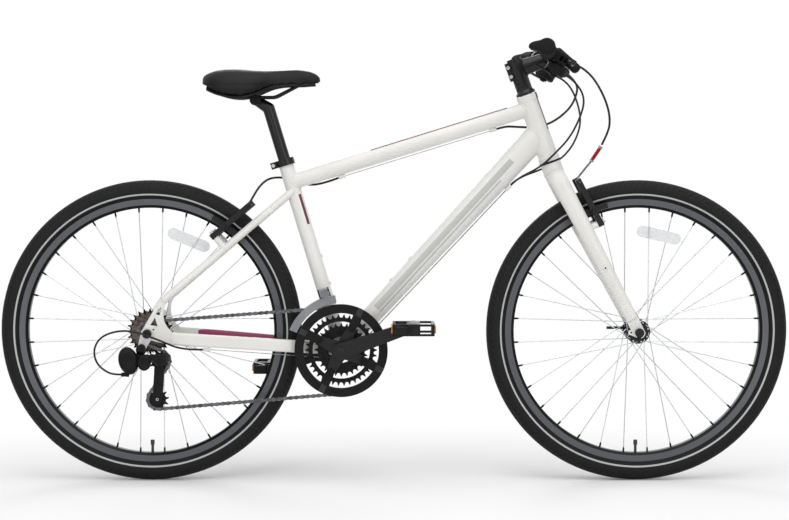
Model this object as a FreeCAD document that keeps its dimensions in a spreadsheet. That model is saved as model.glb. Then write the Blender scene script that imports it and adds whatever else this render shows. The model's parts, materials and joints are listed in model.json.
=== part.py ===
"""Hybrid bike: rigid fork, rim brakes, triple chainset, seven sprockets and flat bar.

Millimetres. X points forward, Y to the rider's left, Z up. The origin is on the
ground, midway between the two axles. The chain side is at negative Y.
"""
import FreeCAD, Part
import math
import os
import Sketcher
from FreeCAD import Placement, Rotation, Vector

# Lengths in millimetres, by the piece that they belong to
SIZES = {
    # Layout
    "wheelbase": 1094.0,
    "bottom_bracket_drop": 40.0,
    "chainstay_length": 431.0,
    "seat_tube_length": 445.0,
    "head_tube_length": 160.0,
    "fork_length": 423.0,
    "fork_offset": 56.0,
    "running_clearance": 0.05,
    "fit_clearance": 0.3,
    "overrun": 20.0,
    # Main tubes
    "head_tube_diameter": 44.0,
    "head_collar_diameter": 47.0,
    "head_collar_height": 12.0,
    "head_collar_taper": 5.0,
    "head_tube_bore": 37.0,
    "seat_tube_diameter": 33.0,
    "seat_slot_width": 3.0,
    "seat_slot_depth": 34.0,
    "top_tube_seat_height": 391.0,
    "top_tube_head_height": 129.0,
    "top_tube_diameter": 35.5,
    "down_tube_head_height": 70.0,
    "down_tube_low_diameter": 40.0,
    "down_tube_high_depth": 58.0,
    "down_tube_high_width": 42.0,
    "tube_wall": 1.8,
    "shell_diameter": 41.0,
    "shell_width": 68.0,
    "shell_bore": 34.0,
    "cartridge_bore": 18.0,
    # Stays and rear ends
    "chainstay_height": 28.0,
    "chainstay_width": 15.0,
    "chainstay_corner": 5.0,
    "chainstay_root_spread": 22.0,
    "chainstay_ring_spread": 26.0,
    "chainstay_ring_reach": 62.0,
    "chainstay_tyre_spread": 40.0,
    "chainstay_tyre_reach": 118.0,
    "chainstay_end_run": 34.0,
    "seatstay_diameter": 17.0,
    "seatstay_top_height": 372.0,
    "seatstay_root_spread": 9.5,
    "seatstay_tyre_spread": 36.0,
    "seatstay_tyre_reach": 95.0,
    "seatstay_post_reach": 222.0,
    "seatstay_end_run": 44.0,
    "bridge_diameter": 13.0,
    "bridge_reach": 66.0,
    "rear_hub_width": 135.0,
    "rear_dropout_thickness": 7.0,
    "dropout_stay_reach": 36.0,
    "dropout_stay_rise": 74.0,
    "dropout_chain_reach": 54.0,
    "dropout_chain_fall": 12.0,
    "dropout_boss_radius": 14.0,
    "hanger_back": 13.0,
    "hanger_fall": 32.0,
    "hanger_radius": 9.0,
    "hanger_thickness": 5.0,
    "eyelet_radius": 6.0,
    "thread_drill_radius": 2.1,
    "boss_radius": 4.5,
    "boss_height": 2.5,
    "boss_depth": 10.0,
    "bottle_boss_spacing": 64.0,
    "seat_bottle_height": 150.0,
    "down_bottle_distance": 190.0,
    "cable_stop_length": 16.0,
    "cable_stop_radius": 4.2,
    # Brake posts
    "post_radius": 4.0,
    "post_base_radius": 7.5,
    "post_spread": 40.0,
    "brake_plane_offset": 38.0,
    "brake_pivot_drop": 31.0,
    # Headset, stem and bar
    "steerer_diameter": 28.6,
    "bearing_height": 8.0,
    "spacer_diameter": 36.0,
    "spacer_height": 38.0,
    "cap_height": 5.0,
    "stem_clamp_diameter": 38.0,
    "stem_clamp_height": 42.0,
    "stem_length": 80.0,
    "stem_neck_depth": 30.0,
    "stem_neck_width": 26.0,
    "bar_clamp_diameter": 39.0,
    "bar_clamp_width": 44.0,
    "bar_diameter": 25.4,
    "bar_tube_diameter": 22.2,
    "bar_width": 590.0,
    "bar_straight": 60.0,
    "bar_sweep": 34.0,
    "bar_rise": 10.0,
    "bar_bend_radius": 90.0,
    "grip_length": 124.0,
    "grip_diameter": 33.0,
    "grip_flange_diameter": 39.0,
    "grip_flange_width": 5.0,
    "grip_cap_thickness": 5.0,
    "bolt_radius": 2.5,
    "bolt_head_radius": 4.3,
    "bolt_head_height": 5.0,
    # Controls on the bar
    "pod_clamp_diameter": 36.0,
    "pod_clamp_width": 26.0,
    "pod_gap": 3.0,
    "pod_disc_radius": 23.0,
    "pod_disc_height": 24.0,
    "pod_disc_forward": 30.0,
    "lever_pivot_forward": 36.0,
    "lever_pivot_radius": 3.0,
    "lever_boss_radius": 8.0,
    "lever_thickness": 11.0,
    "lever_depth": 9.0,
    "lever_run_forward": 60.0,
    "lever_bend_out": 34.0,
    "lever_length": 112.0,
    "lever_tip_forward": 4.0,
    "shift_lever_length": 52.0,
    "shift_lever_width": 13.0,
    "shift_lever_thickness": 4.0,
    # Fork
    "crown_drop": 30.0,
    "crown_gap": 1.0,
    "crown_collar_diameter": 46.0,
    "crown_corner_radius": 27.0,
    "blade_top_depth": 40.0,
    "blade_top_width": 26.0,
    "blade_end_depth": 27.0,
    "blade_end_width": 17.0,
    "blade_top_spread": 44.0,
    "blade_end_gap": 34.0,
    "front_hub_width": 100.0,
    "front_dropout_thickness": 6.0,
    "front_dropout_radius": 14.0,
    "front_eyelet_back": 18.0,
    "fork_boss_distance": 165.0,
    # Wheels
    "tyre_diameter": 678.0,
    "tyre_width": 45.0,
    "tyre_wall": 4.0,
    "bead_thickness": 3.5,
    "bead_depth": 9.6,
    "rim_diameter": 596.0,
    "rim_depth": 21.0,
    "rim_width": 25.0,
    "rim_wall": 1.8,
    "rim_well_depth": 10.0,
    "rim_track_depth": 14.5,
    "spoke_diameter": 2.0,
    "nipple_diameter": 4.2,
    "nipple_length": 11.0,
    "tube_slack": 1.2,
    "valve_radius": 4.0,
    "valve_reach": 28.0,
    "valve_cap_radius": 4.8,
    "valve_cap_length": 11.0,
    "front_flange_spread": 34.0,
    "rear_left_spread": 35.0,
    "rear_right_spread": 19.0,
    "flange_diameter": 54.0,
    "flange_hole_circle": 46.0,
    "flange_thickness": 3.2,
    "hub_barrel_diameter": 31.0,
    "hub_cap_overhang": 8.0,
    "hub_bore": 17.0,
    "axle_diameter": 10.0,
    "locknut_diameter": 16.0,
    "locknut_width": 5.0,
    "skewer_nut_radius": 10.0,
    "skewer_nut_length": 12.0,
    "release_lever_length": 56.0,
    "release_lever_width": 12.0,
    "release_lever_thickness": 6.0,
    "release_head_radius": 9.0,
    "release_head_length": 14.0,
    "reflector_length": 100.0,
    "reflector_height": 26.0,
    "reflector_radius": 221.0,
    # Brake arms and shoes
    "arm_length": 104.0,
    "arm_width": 15.0,
    "arm_thickness": 13.0,
    "arm_boss_radius": 9.0,
    "shoe_length": 68.0,
    "shoe_height": 11.0,
    "shoe_thickness": 12.0,
    "shoe_gap": 2.0,
    "shoe_stud_radius": 3.0,
    # Chain and toothed wheels
    "chain_pitch": 12.7,
    "roller_radius": 3.85,
    "roller_half_width": 1.25,
    "plate_thickness": 0.9,
    "plate_gap": 0.15,
    "plate_half_height": 4.1,
    "plate_waist": 3.0,
    "pin_radius": 1.75,
    "pin_overhang": 0.3,
    "tooth_seat_radius": 4.0,
    "tooth_height": 3.4,
    "tooth_tip_width": 1.7,
    "tooth_thickness": 2.0,
    "ring_line": 53.0,
    "ring_spacing": 7.0,
    "sprocket_line": 58.0,
    "sprocket_spacing": 5.0,
    "cassette_body_radius": 17.0,
    "ring_rim_width": 9.0,
    # Cranks
    "crank_length": 170.0,
    "crank_hub_radius": 18.0,
    "crank_end_radius": 13.0,
    "crank_thickness": 13.0,
    "crank_plane": 62.0,
    "spider_reach": 56.0,
    "spider_end_radius": 9.0,
    "guard_radius": 104.0,
    "guard_inner_radius": 84.0,
    "guard_thickness": 2.8,
    "guard_gap": 4.6,
    "guard_tab_width": 22.0,
    # Pedals
    "pedal_length": 92.0,
    "pedal_width": 88.0,
    "pedal_height": 26.0,
    "pedal_wall": 7.0,
    "pedal_corner": 9.0,
    "pedal_barrel_radius": 11.0,
    "pedal_axle_radius": 5.0,
    "pedal_gap": 2.0,
    "pedal_reflector_thickness": 3.0,
    # Rear derailleur
    "guide_forward": 25.0,
    "guide_fall": 63.0,
    "cage_length": 86.0,
    "cage_pivot_forward": 5.0,
    "cage_pivot_rise": 7.0,
    "cage_half_width": 4.3,
    "cage_plate_thickness": 1.4,
    "cage_end_radius": 11.0,
    "pulley_bolt_radius": 2.5,
    "pulley_hub_radius": 7.0,
    "cage_stub_radius": 5.0,
    "cage_stub_length": 15.0,
    "knuckle_radius": 10.0,
    "knuckle_outside": 37.0,
    "shift_link_length": 50.0,
    "shift_link_radius": 8.0,
    "shift_link_thickness": 12.0,
    "shift_cheek": 4.0,
    "shift_strut": 5.0,
    "shift_pin_radius": 2.5,
    # Front derailleur
    "band_height": 16.0,
    "band_thickness": 2.6,
    "band_above_axis": 112.0,
    "mech_inner_radius": 106.5,
    "mech_outer_radius": 124.0,
    "mech_half_width": 5.0,
    "mech_plate": 1.5,
    "mech_link_length": 30.0,
    "mech_barrel_radius": 4.6,
    "mech_barrel_length": 20.0,
    "mech_link_plate": 2.2,
    "mech_pin_radius": 2.0,
    # Seat
    "seatpost_diameter": 27.2,
    "seatpost_insert": 110.0,
    "seatpost_show": 119.0,
    "clamp_width": 15.0,
    "clamp_thickness": 4.5,
    "clamp_ear_reach": 12.0,
    "clamp_ear_width": 9.0,
    "head_setback": 29.0,
    "head_rise": 18.0,
    "cradle_radius": 12.0,
    "cradle_width": 34.0,
    "rail_radius": 3.5,
    "rail_spread": 21.0,
    "rail_above_cradle": 6.0,
    "saddle_length": 266.0,
    "saddle_width": 160.0,
    "saddle_behind_clamp": 119.0,
    "saddle_top_above_clamp": 64.0,
    "saddle_depth": 58.0,
    "saddle_base_thickness": 4.0,
    "rail_bend_radius": 30.0,
    # Cables
    "brake_housing_diameter": 5.0,
    "gear_housing_diameter": 4.4,
    "wire_diameter": 1.6,
    "down_stop_distance": 520.0,
    "down_wire_spread": 9.0,
    "stay_stop_distance": 300.0,
    "stay_stop_spread": 65.0,
}

# Angles in degrees
ANGLES = {
    "seat_tube_angle": 73.2,
    "head_tube_angle": 70.2,
    "crank_angle": 19.0,
    "cage_angle": 97.0,
    "lever_droop_angle": 30.0,
    "shift_swing_angle": 43.0,
    "mech_rest_angle": 25.0,
    "mech_front_angle": 96.0,
    "mech_back_angle": 158.0,
    "front_reflector_angle": 77.0,
    "rear_reflector_angle": 67.5,
}

SPOKE_COUNT = 32
SPOKE_CROSSINGS = 3
RING_TEETH = (48, 38, 28)
SPROCKET_TEETH = (12, 14, 16, 18, 20, 22, 24)
PULLEY_TEETH = 11
SEAT_ARC = math.radians(75)
SIDES = (("left", 1), ("right", -1))

doc = FreeCAD.newDocument("hybrid_bike")


class Size(float):
    """A number from the sheet, or a sum of them, that keeps its expression."""

    def __new__(cls, value, text):
        size = float.__new__(cls, value)
        size.text = text
        return size

    def __add__(self, other):
        return Size(float(self) + float(other), f"({self.text} + {text_of(other)})")

    def __radd__(self, other):
        return Size(float(other) + float(self), f"({text_of(other)} + {self.text})")

    def __sub__(self, other):
        return Size(float(self) - float(other), f"({self.text} - {text_of(other)})")

    def __rsub__(self, other):
        return Size(float(other) - float(self), f"({text_of(other)} - {self.text})")

    def __mul__(self, other):
        return Size(float(self) * float(other), f"({self.text} * {text_of(other)})")

    def __rmul__(self, other):
        return self * other

    def __truediv__(self, other):
        return Size(float(self) / float(other), f"({self.text} / {text_of(other)})")

    def __neg__(self):
        return Size(-float(self), f"(0 - {self.text})")


def text_of(number):
    """Expression text of a size or of a plain number."""
    return number.text if isinstance(number, Size) else repr(float(number))


class Values:
    """The named values of one sheet as attributes."""


def fill_sheet(name, table):
    """A spreadsheet with one aliased cell for each value, and its values."""
    sheet = doc.addObject("Spreadsheet::Sheet", name)
    values = Values()
    for row, (alias, number) in enumerate(table.items(), start=1):
        sheet.set(f"A{row}", str(number))
        sheet.setAlias(f"A{row}", alias)
    doc.recompute()
    for alias in table:
        setattr(values, alias, Size(sheet.get(alias), f"{name}.{alias}"))
    return values


s = fill_sheet("Sizes", SIZES)
angles = fill_sheet("Angles", ANGLES)

NODES = {}


def deliver(label, *pieces):
    """Names a sub-part; several pieces of one node become a group of solids."""
    if len(pieces) > 1:
        group = doc.addObject("Part::Compound", "group")
        group.Links = list(pieces)
    else:
        group = pieces[0]
    group.Label = label
    NODES[label] = group
    return group


def bind(thing, **sizes):
    """Sets properties from sizes, as expressions on the sheet where they have one."""
    for name, value in sizes.items():
        if isinstance(value, Size):
            thing.setExpression(name, value.text)
        else:
            setattr(thing, name, value)
    return thing


def facing(base, z_axis, x_axis=None):
    """Placement at a point with its Z, and if given its X, along a direction."""
    if x_axis is None:
        return Placement(base, Rotation(Vector(0, 0, 1), z_axis))
    y_axis = z_axis.cross(x_axis)
    return Placement(base, Rotation(x_axis, y_axis, z_axis, "ZXY"))


def cylinder(base, axis, radius, length):
    """Round bar from a point along a direction."""
    bar = doc.addObject("Part::Cylinder", "bar")
    bind(bar, Radius=radius, Height=length)
    bar.Placement = facing(base, axis)
    return bar


def cone(base, axis, first_radius, last_radius, length):
    """Tapered round bar from a point along a direction."""
    bar = doc.addObject("Part::Cone", "taper")
    bind(bar, Radius1=first_radius, Radius2=last_radius, Height=length)
    bar.Placement = facing(base, axis)
    return bar


def block(centre, sizes, placement=None):
    """Box of the given sizes about a point of a placed frame."""
    box = doc.addObject("Part::Box", "block")
    bind(box, Length=sizes[0], Width=sizes[1], Height=sizes[2])
    shift = Placement(centre - Vector(*[float(size) / 2 for size in sizes]), Rotation())
    box.Placement = placement.multiply(shift) if placement else shift
    return box


def cut(base, *tools):
    """The first piece with the others taken away."""
    for tool in tools:
        result = doc.addObject("Part::Cut", "cut")
        result.Base = base
        result.Tool = tool
        base = result
    return base


def fuse(*pieces):
    """One solid out of several."""
    result = doc.addObject("Part::MultiFuse", "fuse")
    result.Shapes = list(pieces)
    result.Refine = True
    return result


def feature(shape):
    """A shape worked out in code, as an object of the document."""
    result = doc.addObject("Part::Feature", "form")
    result.Shape = shape
    return result


def arc_between(start, end, radius):
    """Short arc between two points; a positive radius turns left."""
    middle = (start + end) * 0.5
    chord = end - start
    left = Vector(-chord.y, chord.x, 0).normalize()
    reach = math.sqrt(max(radius * radius - chord.Length ** 2 / 4, 0))
    centre = middle + left * math.copysign(reach, radius)
    circle = Part.Circle(centre, Vector(0, 0, 1), abs(radius))
    first, last = (start, end) if radius > 0 else (end, start)
    return Part.ArcOfCircle(circle, circle.parameter(first), circle.parameter(last))


def tie(sketch, geometry, end, x, y):
    """Ties one point of a sketch to its two coordinates."""
    for kind, axis, value in (("DistanceX", -2, x), ("DistanceY", -1, y)):
        if float(value) == 0:
            sketch.addConstraint(Sketcher.Constraint("PointOnObject", geometry, end, axis))
            continue
        index = sketch.addConstraint(Sketcher.Constraint(kind, -1, 1, geometry, end, float(value)))
        if isinstance(value, Size):
            sketch.setExpression(f"Constraints[{index}]", value.text)


def draw(sketch, outline):
    """Closed outline; a third number on a point makes the way to it an arc."""
    count = len(outline)
    first = sketch.GeometryCount
    ends = []
    for index in range(count):
        here, there = outline[index], outline[(index + 1) % count]
        start = Vector(float(here[0]), float(here[1]), 0)
        end = Vector(float(there[0]), float(there[1]), 0)
        if len(there) == 3:
            sketch.addGeometry(arc_between(start, end, float(there[2])), False)
            ends.append((1, 2) if there[2] > 0 else (2, 1))
        else:
            sketch.addGeometry(Part.LineSegment(start, end), False)
            ends.append((1, 2))
    for index in range(count):
        follower = (index + 1) % count
        joined = (first + index, ends[index][1], first + follower, ends[follower][0])
        sketch.addConstraint(Sketcher.Constraint("Coincident", *joined))
    for index, point in enumerate(outline):
        tie(sketch, first + index, ends[index][0], point[0], point[1])
        if len(point) == 3:
            arc = first + (index - 1) % count
            mark = sketch.addConstraint(Sketcher.Constraint("Radius", arc, abs(float(point[2]))))
            if isinstance(point[2], Size):
                sketch.setExpression(f"Constraints[{mark}]", text_of(abs_size(point[2])))


def abs_size(size):
    """A size without its sign."""
    return size if size > 0 else -size


def draw_circle(sketch, x, y, radius):
    """Circle in a sketch, tied to its centre and radius."""
    centre = Vector(float(x), float(y), 0)
    index = sketch.addGeometry(Part.Circle(centre, Vector(0, 0, 1), float(radius)), False)
    tie(sketch, index, 3, x, y)
    mark = sketch.addConstraint(Sketcher.Constraint("Radius", index, float(radius)))
    if isinstance(radius, Size):
        sketch.setExpression(f"Constraints[{mark}]", radius.text)


def sketch_on(body, role):
    """New sketch on one of a body's own origin planes."""
    sketch = body.newObject("Sketcher::SketchObject", "outline")
    plane = [part for part in body.Origin.OriginFeatures if part.Role == role][0]
    sketch.AttachmentSupport = (plane, [""])
    sketch.MapMode = "FlatFace"
    return sketch


def turned(outlines, base, axis):
    """Body turned about its Z axis from outlines of (radius, height) points."""
    body = doc.addObject("PartDesign::Body", "turned")
    sketch = sketch_on(body, "XZ_Plane")
    for outline in outlines:
        draw(sketch, outline)
    turn = body.newObject("PartDesign::Revolution", "turn")
    turn.Profile = sketch
    turn.ReferenceAxis = (sketch, ["V_Axis"])
    turn.Angle = 360
    body.Placement = facing(base, axis)
    return body


def plate(outlines, circles, thickness, placement):
    """Body of constant thickness from closed outlines and round holes."""
    body = doc.addObject("PartDesign::Body", "plate")
    sketch = sketch_on(body, "XY_Plane")
    for outline in outlines:
        draw(sketch, outline)
    for circle in circles:
        draw_circle(sketch, *circle)
    pad = body.newObject("PartDesign::Pad", "pad")
    pad.Profile = sketch
    bind(pad, Length=thickness)
    body.Placement = placement
    return body


def strap_outline(length, first_radius, last_radius):
    """Outline of a flat arm round two bosses on its X axis."""
    slope = math.asin((float(first_radius) - float(last_radius)) / float(length))
    rise, run = math.cos(slope), math.sin(slope)
    return [
        (-first_radius, 0, first_radius),
        (run * first_radius, -rise * first_radius, first_radius),
        (length + run * last_radius, -rise * last_radius),
        (length + last_radius, 0, last_radius),
        (length + run * last_radius, rise * last_radius, last_radius),
        (run * first_radius, rise * first_radius),
    ]


def oval(centre, first_axis, first_half, second_axis, second_half):
    """Closed ellipse wire with its half sizes along two directions."""
    if second_half > first_half:
        first_axis, first_half, second_axis, second_half = second_axis, second_half, first_axis, first_half
    if math.isclose(first_half, second_half):
        return Part.Wire([Part.Circle(centre, first_axis.cross(second_axis), first_half).toShape()])
    ellipse = Part.Ellipse(centre + first_axis * first_half, centre + second_axis * second_half, centre)
    return Part.Wire([ellipse.toShape()])


def loft(*wires):
    """Smooth solid through closed wires."""
    return Part.makeLoft(list(wires), True)


def route(points, radii):
    """Wire of straight runs joined by tangent arcs, one radius for each inner point."""
    edges = []
    last = points[0]
    for index in range(1, len(points) - 1):
        point = points[index]
        back = (points[index - 1] - point).normalize()
        ahead = (points[index + 1] - point).normalize()
        half = back.getAngle(ahead) / 2
        reach = radii[index - 1] / math.tan(half)
        first, end = point + back * reach, point + ahead * reach
        bisector = (back + ahead).normalize()
        middle = point + bisector * (radii[index - 1] / math.sin(half) - radii[index - 1])
        edges.append(Part.LineSegment(last, first).toShape())
        edges.append(Part.Arc(first, middle, end).toShape())
        last = end
    edges.append(Part.LineSegment(last, points[-1]).toShape())
    return Part.Wire(edges)


def swept(wire, section):
    """Solid of a section wire carried along a route."""
    shell = Part.BRepOffsetAPI.MakePipeShell(wire)
    shell.add(section)
    shell.build()
    shell.makeSolid()
    return shell.shape()


CORD_SHARE = 0.45


def cord(points, diameter):
    """Tube along hand-chosen points, each corner as round as its runs allow."""
    radii = []
    for before, point, after in zip(points, points[1:], points[2:]):
        turn = math.pi - (before - point).getAngle(after - point)
        shorter = min((before - point).Length, (after - point).Length)
        radii.append(CORD_SHARE * shorter / math.tan(turn / 2))
    print(f"cord of {float(diameter):.1f} mm: bends of", *[f"{float(radius):.1f}" for radius in radii], "mm")
    wire = route(points, radii)
    section = Part.Wire([Part.Circle(points[0], points[1] - points[0], diameter / 2).toShape()])
    return swept(wire, section)


# Layout: the points and directions that the pieces share
SIDE = Vector(0, 1, 0)
FORWARD = Vector(1, 0, 0)
UP = Vector(0, 0, 1)


def lean(angle):
    """Direction that leans back from the horizontal by an angle, in the bike's plane."""
    return Vector(-math.cos(math.radians(angle)), 0, math.sin(math.radians(angle)))


def sideways(point, offset):
    """The point moved to a distance along Y."""
    return Vector(point.x, offset, point.z)


AXLE_HEIGHT = s.tyre_diameter / 2
REAR_AXLE = Vector(-s.wheelbase / 2, 0, AXLE_HEIGHT)
FRONT_AXLE = Vector(s.wheelbase / 2, 0, AXLE_HEIGHT)
CRANK_AXIS = REAR_AXLE + Vector(
    math.sqrt(s.chainstay_length ** 2 - s.bottom_bracket_drop ** 2), 0, -s.bottom_bracket_drop)
SEAT_UP = lean(angles.seat_tube_angle)
STEER_UP = lean(angles.head_tube_angle)
STEER_AHEAD = SIDE.cross(STEER_UP)
HEAD_LOW = FRONT_AXLE - STEER_AHEAD * s.fork_offset + STEER_UP * s.fork_length
HEAD_TOP = HEAD_LOW + STEER_UP * s.head_tube_length
SEAT_TOP = CRANK_AXIS + SEAT_UP * s.seat_tube_length
TOP_REAR = CRANK_AXIS + SEAT_UP * s.top_tube_seat_height
TOP_FRONT = HEAD_LOW + STEER_UP * s.top_tube_head_height
DOWN_FRONT = HEAD_LOW + STEER_UP * s.down_tube_head_height
DOWN_UP = (DOWN_FRONT - CRANK_AXIS).normalize()
DOWN_BELOW = SIDE.cross(DOWN_UP)
DROPOUT_LINE = s.rear_hub_width / 2 + s.rear_dropout_thickness / 2
STAY_TOP = CRANK_AXIS + SEAT_UP * s.seatstay_top_height
STAY_END = REAR_AXLE + Vector(s.dropout_stay_reach, 0, s.dropout_stay_rise)
STAY_UP = (STAY_TOP - STAY_END).normalize()
STAY_BACK = STAY_UP.cross(SIDE)
CHAIN_END = REAR_AXLE + Vector(s.dropout_chain_reach, 0, -s.dropout_chain_fall)
CHAIN_AHEAD = (CRANK_AXIS - CHAIN_END).normalize()
HANGER = REAR_AXLE + Vector(-s.hanger_back, 0, -s.hanger_fall)


def through(base, axis, radius, length):
    """Solid bar that runs past both ends, to take away."""
    return cylinder(base - axis * s.overrun, axis, radius, length + 2 * s.overrun)


def head_outline(inner):
    """Outline of the head tube with its collars, from an inner radius out."""
    radius, collar, length = s.head_tube_diameter / 2, s.head_collar_diameter / 2, s.head_tube_length
    shoulder = s.head_collar_height + s.head_collar_taper
    return [
        (inner, 0), (collar, 0), (collar, s.head_collar_height), (radius, shoulder),
        (radius, length - shoulder), (collar, length - s.head_collar_height),
        (collar, length), (inner, length),
    ]


def head_bar():
    """The head tube's outside as a full bar, for mitring what meets it."""
    return turned([head_outline(0)], HEAD_LOW, STEER_UP)


def seat_bar():
    """The seat tube's outside as a full bar."""
    return through(CRANK_AXIS, SEAT_UP, s.seat_tube_diameter / 2, s.seat_tube_length)


def shell_bar():
    """The bottom bracket shell's outside as a full bar."""
    return through(sideways(CRANK_AXIS, -s.shell_width / 2), SIDE, s.shell_diameter / 2, s.shell_width)


def head_tube():
    """Tube that holds the headset, with a thicker collar at each end."""
    deliver("head_tube", turned([head_outline(s.head_tube_bore / 2)], HEAD_LOW, STEER_UP))


def threaded_boss(base, outward):
    """Insert with a blind tapped hole, flange outside and shank inside the tube."""
    flange, shank = s.boss_radius, s.boss_radius - s.tube_wall / 2
    outline = [
        (s.thread_drill_radius, -s.boss_depth), (shank, -s.boss_depth), (shank, -s.fit_clearance),
        (flange, -s.fit_clearance), (flange, s.boss_height), (s.thread_drill_radius, s.boss_height),
    ]
    return turned([outline], base, outward)


def boss_hole(base, outward):
    """Hole in a tube's wall for the shank of a threaded boss."""
    length = s.boss_depth + s.boss_height
    shank = s.boss_radius - s.tube_wall / 2 + s.running_clearance
    return cylinder(base - outward * s.boss_depth, outward, shank, length)


def boss_seat(base, outward):
    """Flat spot in a tube's skin under a boss flange."""
    return cylinder(base - outward * s.fit_clearance, outward, s.boss_radius + s.running_clearance, s.overrun)


def seat_tube():
    """Tube from the bottom bracket to the seat clamp, slotted at the back, with bottle bosses."""
    radius = s.seat_tube_diameter / 2
    bore = s.seatpost_diameter / 2 + s.running_clearance
    tube = cut(cylinder(CRANK_AXIS, SEAT_UP, radius, s.seat_tube_length),
               cylinder(CRANK_AXIS, SEAT_UP, bore, s.seat_tube_length + s.overrun),
               shell_bar())
    ahead = SIDE.cross(SEAT_UP)
    slot = block(Vector(-s.seat_tube_diameter / 2, 0, 0),
                 (s.seat_tube_diameter, s.seat_slot_width, s.seat_slot_depth * 2),
                 facing(SEAT_TOP, SEAT_UP, ahead))
    bosses = []
    for step in (0, 1):
        height = s.seat_bottle_height + step * s.bottle_boss_spacing
        base = CRANK_AXIS + SEAT_UP * height + ahead * radius
        tube = cut(tube, boss_hole(base, ahead), boss_seat(base, ahead))
        bosses.append(threaded_boss(base, ahead))
    deliver("seat_tube", cut(tube, slot), *bosses)


def top_tube():
    """Tube from the seat tube to the head tube."""
    line = TOP_FRONT - TOP_REAR
    radius = s.top_tube_diameter / 2
    axis = Vector(line).normalize()
    outer = cylinder(TOP_REAR, axis, radius, line.Length)
    inner = cylinder(TOP_REAR, axis, radius - s.tube_wall, line.Length)
    deliver("top_tube", cut(outer, inner, seat_bar(), head_bar()))


def down_tube_oval(share, inset):
    """Section of the down tube at a share of its length."""
    low = s.down_tube_low_diameter / 2
    depth = low + (s.down_tube_high_depth / 2 - low) * share
    width = low + (s.down_tube_high_width / 2 - low) * share
    centre = CRANK_AXIS + (DOWN_FRONT - CRANK_AXIS) * share
    return oval(centre, DOWN_BELOW, depth - inset, SIDE, width - inset)


DOWN_TUBE_SHARES = (0.0, 0.35, 0.7, 1.0)


def down_tube_skin(share):
    """Distance from the down tube's axis to its upper skin at a share of its length."""
    low = s.down_tube_low_diameter / 2
    return low + (s.down_tube_high_depth / 2 - low) * share


def down_tube():
    """Shaped tube that deepens towards the head tube, with bottle bosses on top."""
    outer = feature(loft(*[down_tube_oval(share, 0) for share in DOWN_TUBE_SHARES]))
    inner = feature(loft(*[down_tube_oval(share, s.tube_wall) for share in DOWN_TUBE_SHARES]))
    tube = cut(outer, inner, shell_bar(), seat_bar(), head_bar())
    length = (DOWN_FRONT - CRANK_AXIS).Length
    slope = math.atan((s.down_tube_high_depth - s.down_tube_low_diameter) / 2 / length)
    outward = -DOWN_BELOW * math.cos(slope) - DOWN_UP * math.sin(slope)
    bosses = []
    for step in (0, 1):
        along = s.down_bottle_distance + step * s.bottle_boss_spacing
        base = CRANK_AXIS + DOWN_UP * along - DOWN_BELOW * down_tube_skin(along / length)
        tube = cut(tube, boss_hole(base, outward), boss_seat(base, outward))
        bosses.append(threaded_boss(base, outward))
    deliver("down_tube", tube, *bosses)


def bottom_bracket():
    """Shell across the frame and the bearing cartridge inside it."""
    left = sideways(CRANK_AXIS, -s.shell_width / 2)
    shell = cut(cylinder(left, SIDE, s.shell_diameter / 2, s.shell_width),
                cylinder(left, SIDE, s.shell_bore / 2, s.shell_width))
    bore = s.cartridge_bore / 2
    cartridge = cut(cylinder(left, SIDE, s.shell_bore / 2 - s.running_clearance, s.shell_width),
                    cylinder(left, SIDE, bore, s.shell_width))
    deliver("bottom_bracket", shell, cartridge)


def rounded_rectangle(centre, first_axis, first_size, second_axis, second_size, corner):
    """Closed wire of a rectangle with round corners."""
    a, b = first_size / 2, second_size / 2
    edges = []
    diagonal = corner * (1 - math.sqrt(0.5))

    def at(x, y):
        return centre + first_axis * x + second_axis * y

    for x, y, turned_first in ((a, b, True), (-a, b, False), (-a, -b, True), (a, -b, False)):
        inner_x, inner_y = x - math.copysign(corner, x), y - math.copysign(corner, y)
        ends = [at(x, inner_y), at(inner_x, y)]
        if not turned_first:
            ends.reverse()
        middle = at(x - math.copysign(diagonal, x), y - math.copysign(diagonal, y))
        edges.append((ends[0], middle, ends[1]))
    shape = []
    for index, (start, middle, end) in enumerate(edges):
        shape.append(Part.Arc(start, middle, end).toShape())
        shape.append(Part.LineSegment(end, edges[(index + 1) % len(edges)][0]).toShape())
    return Part.Wire(shape)


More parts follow.
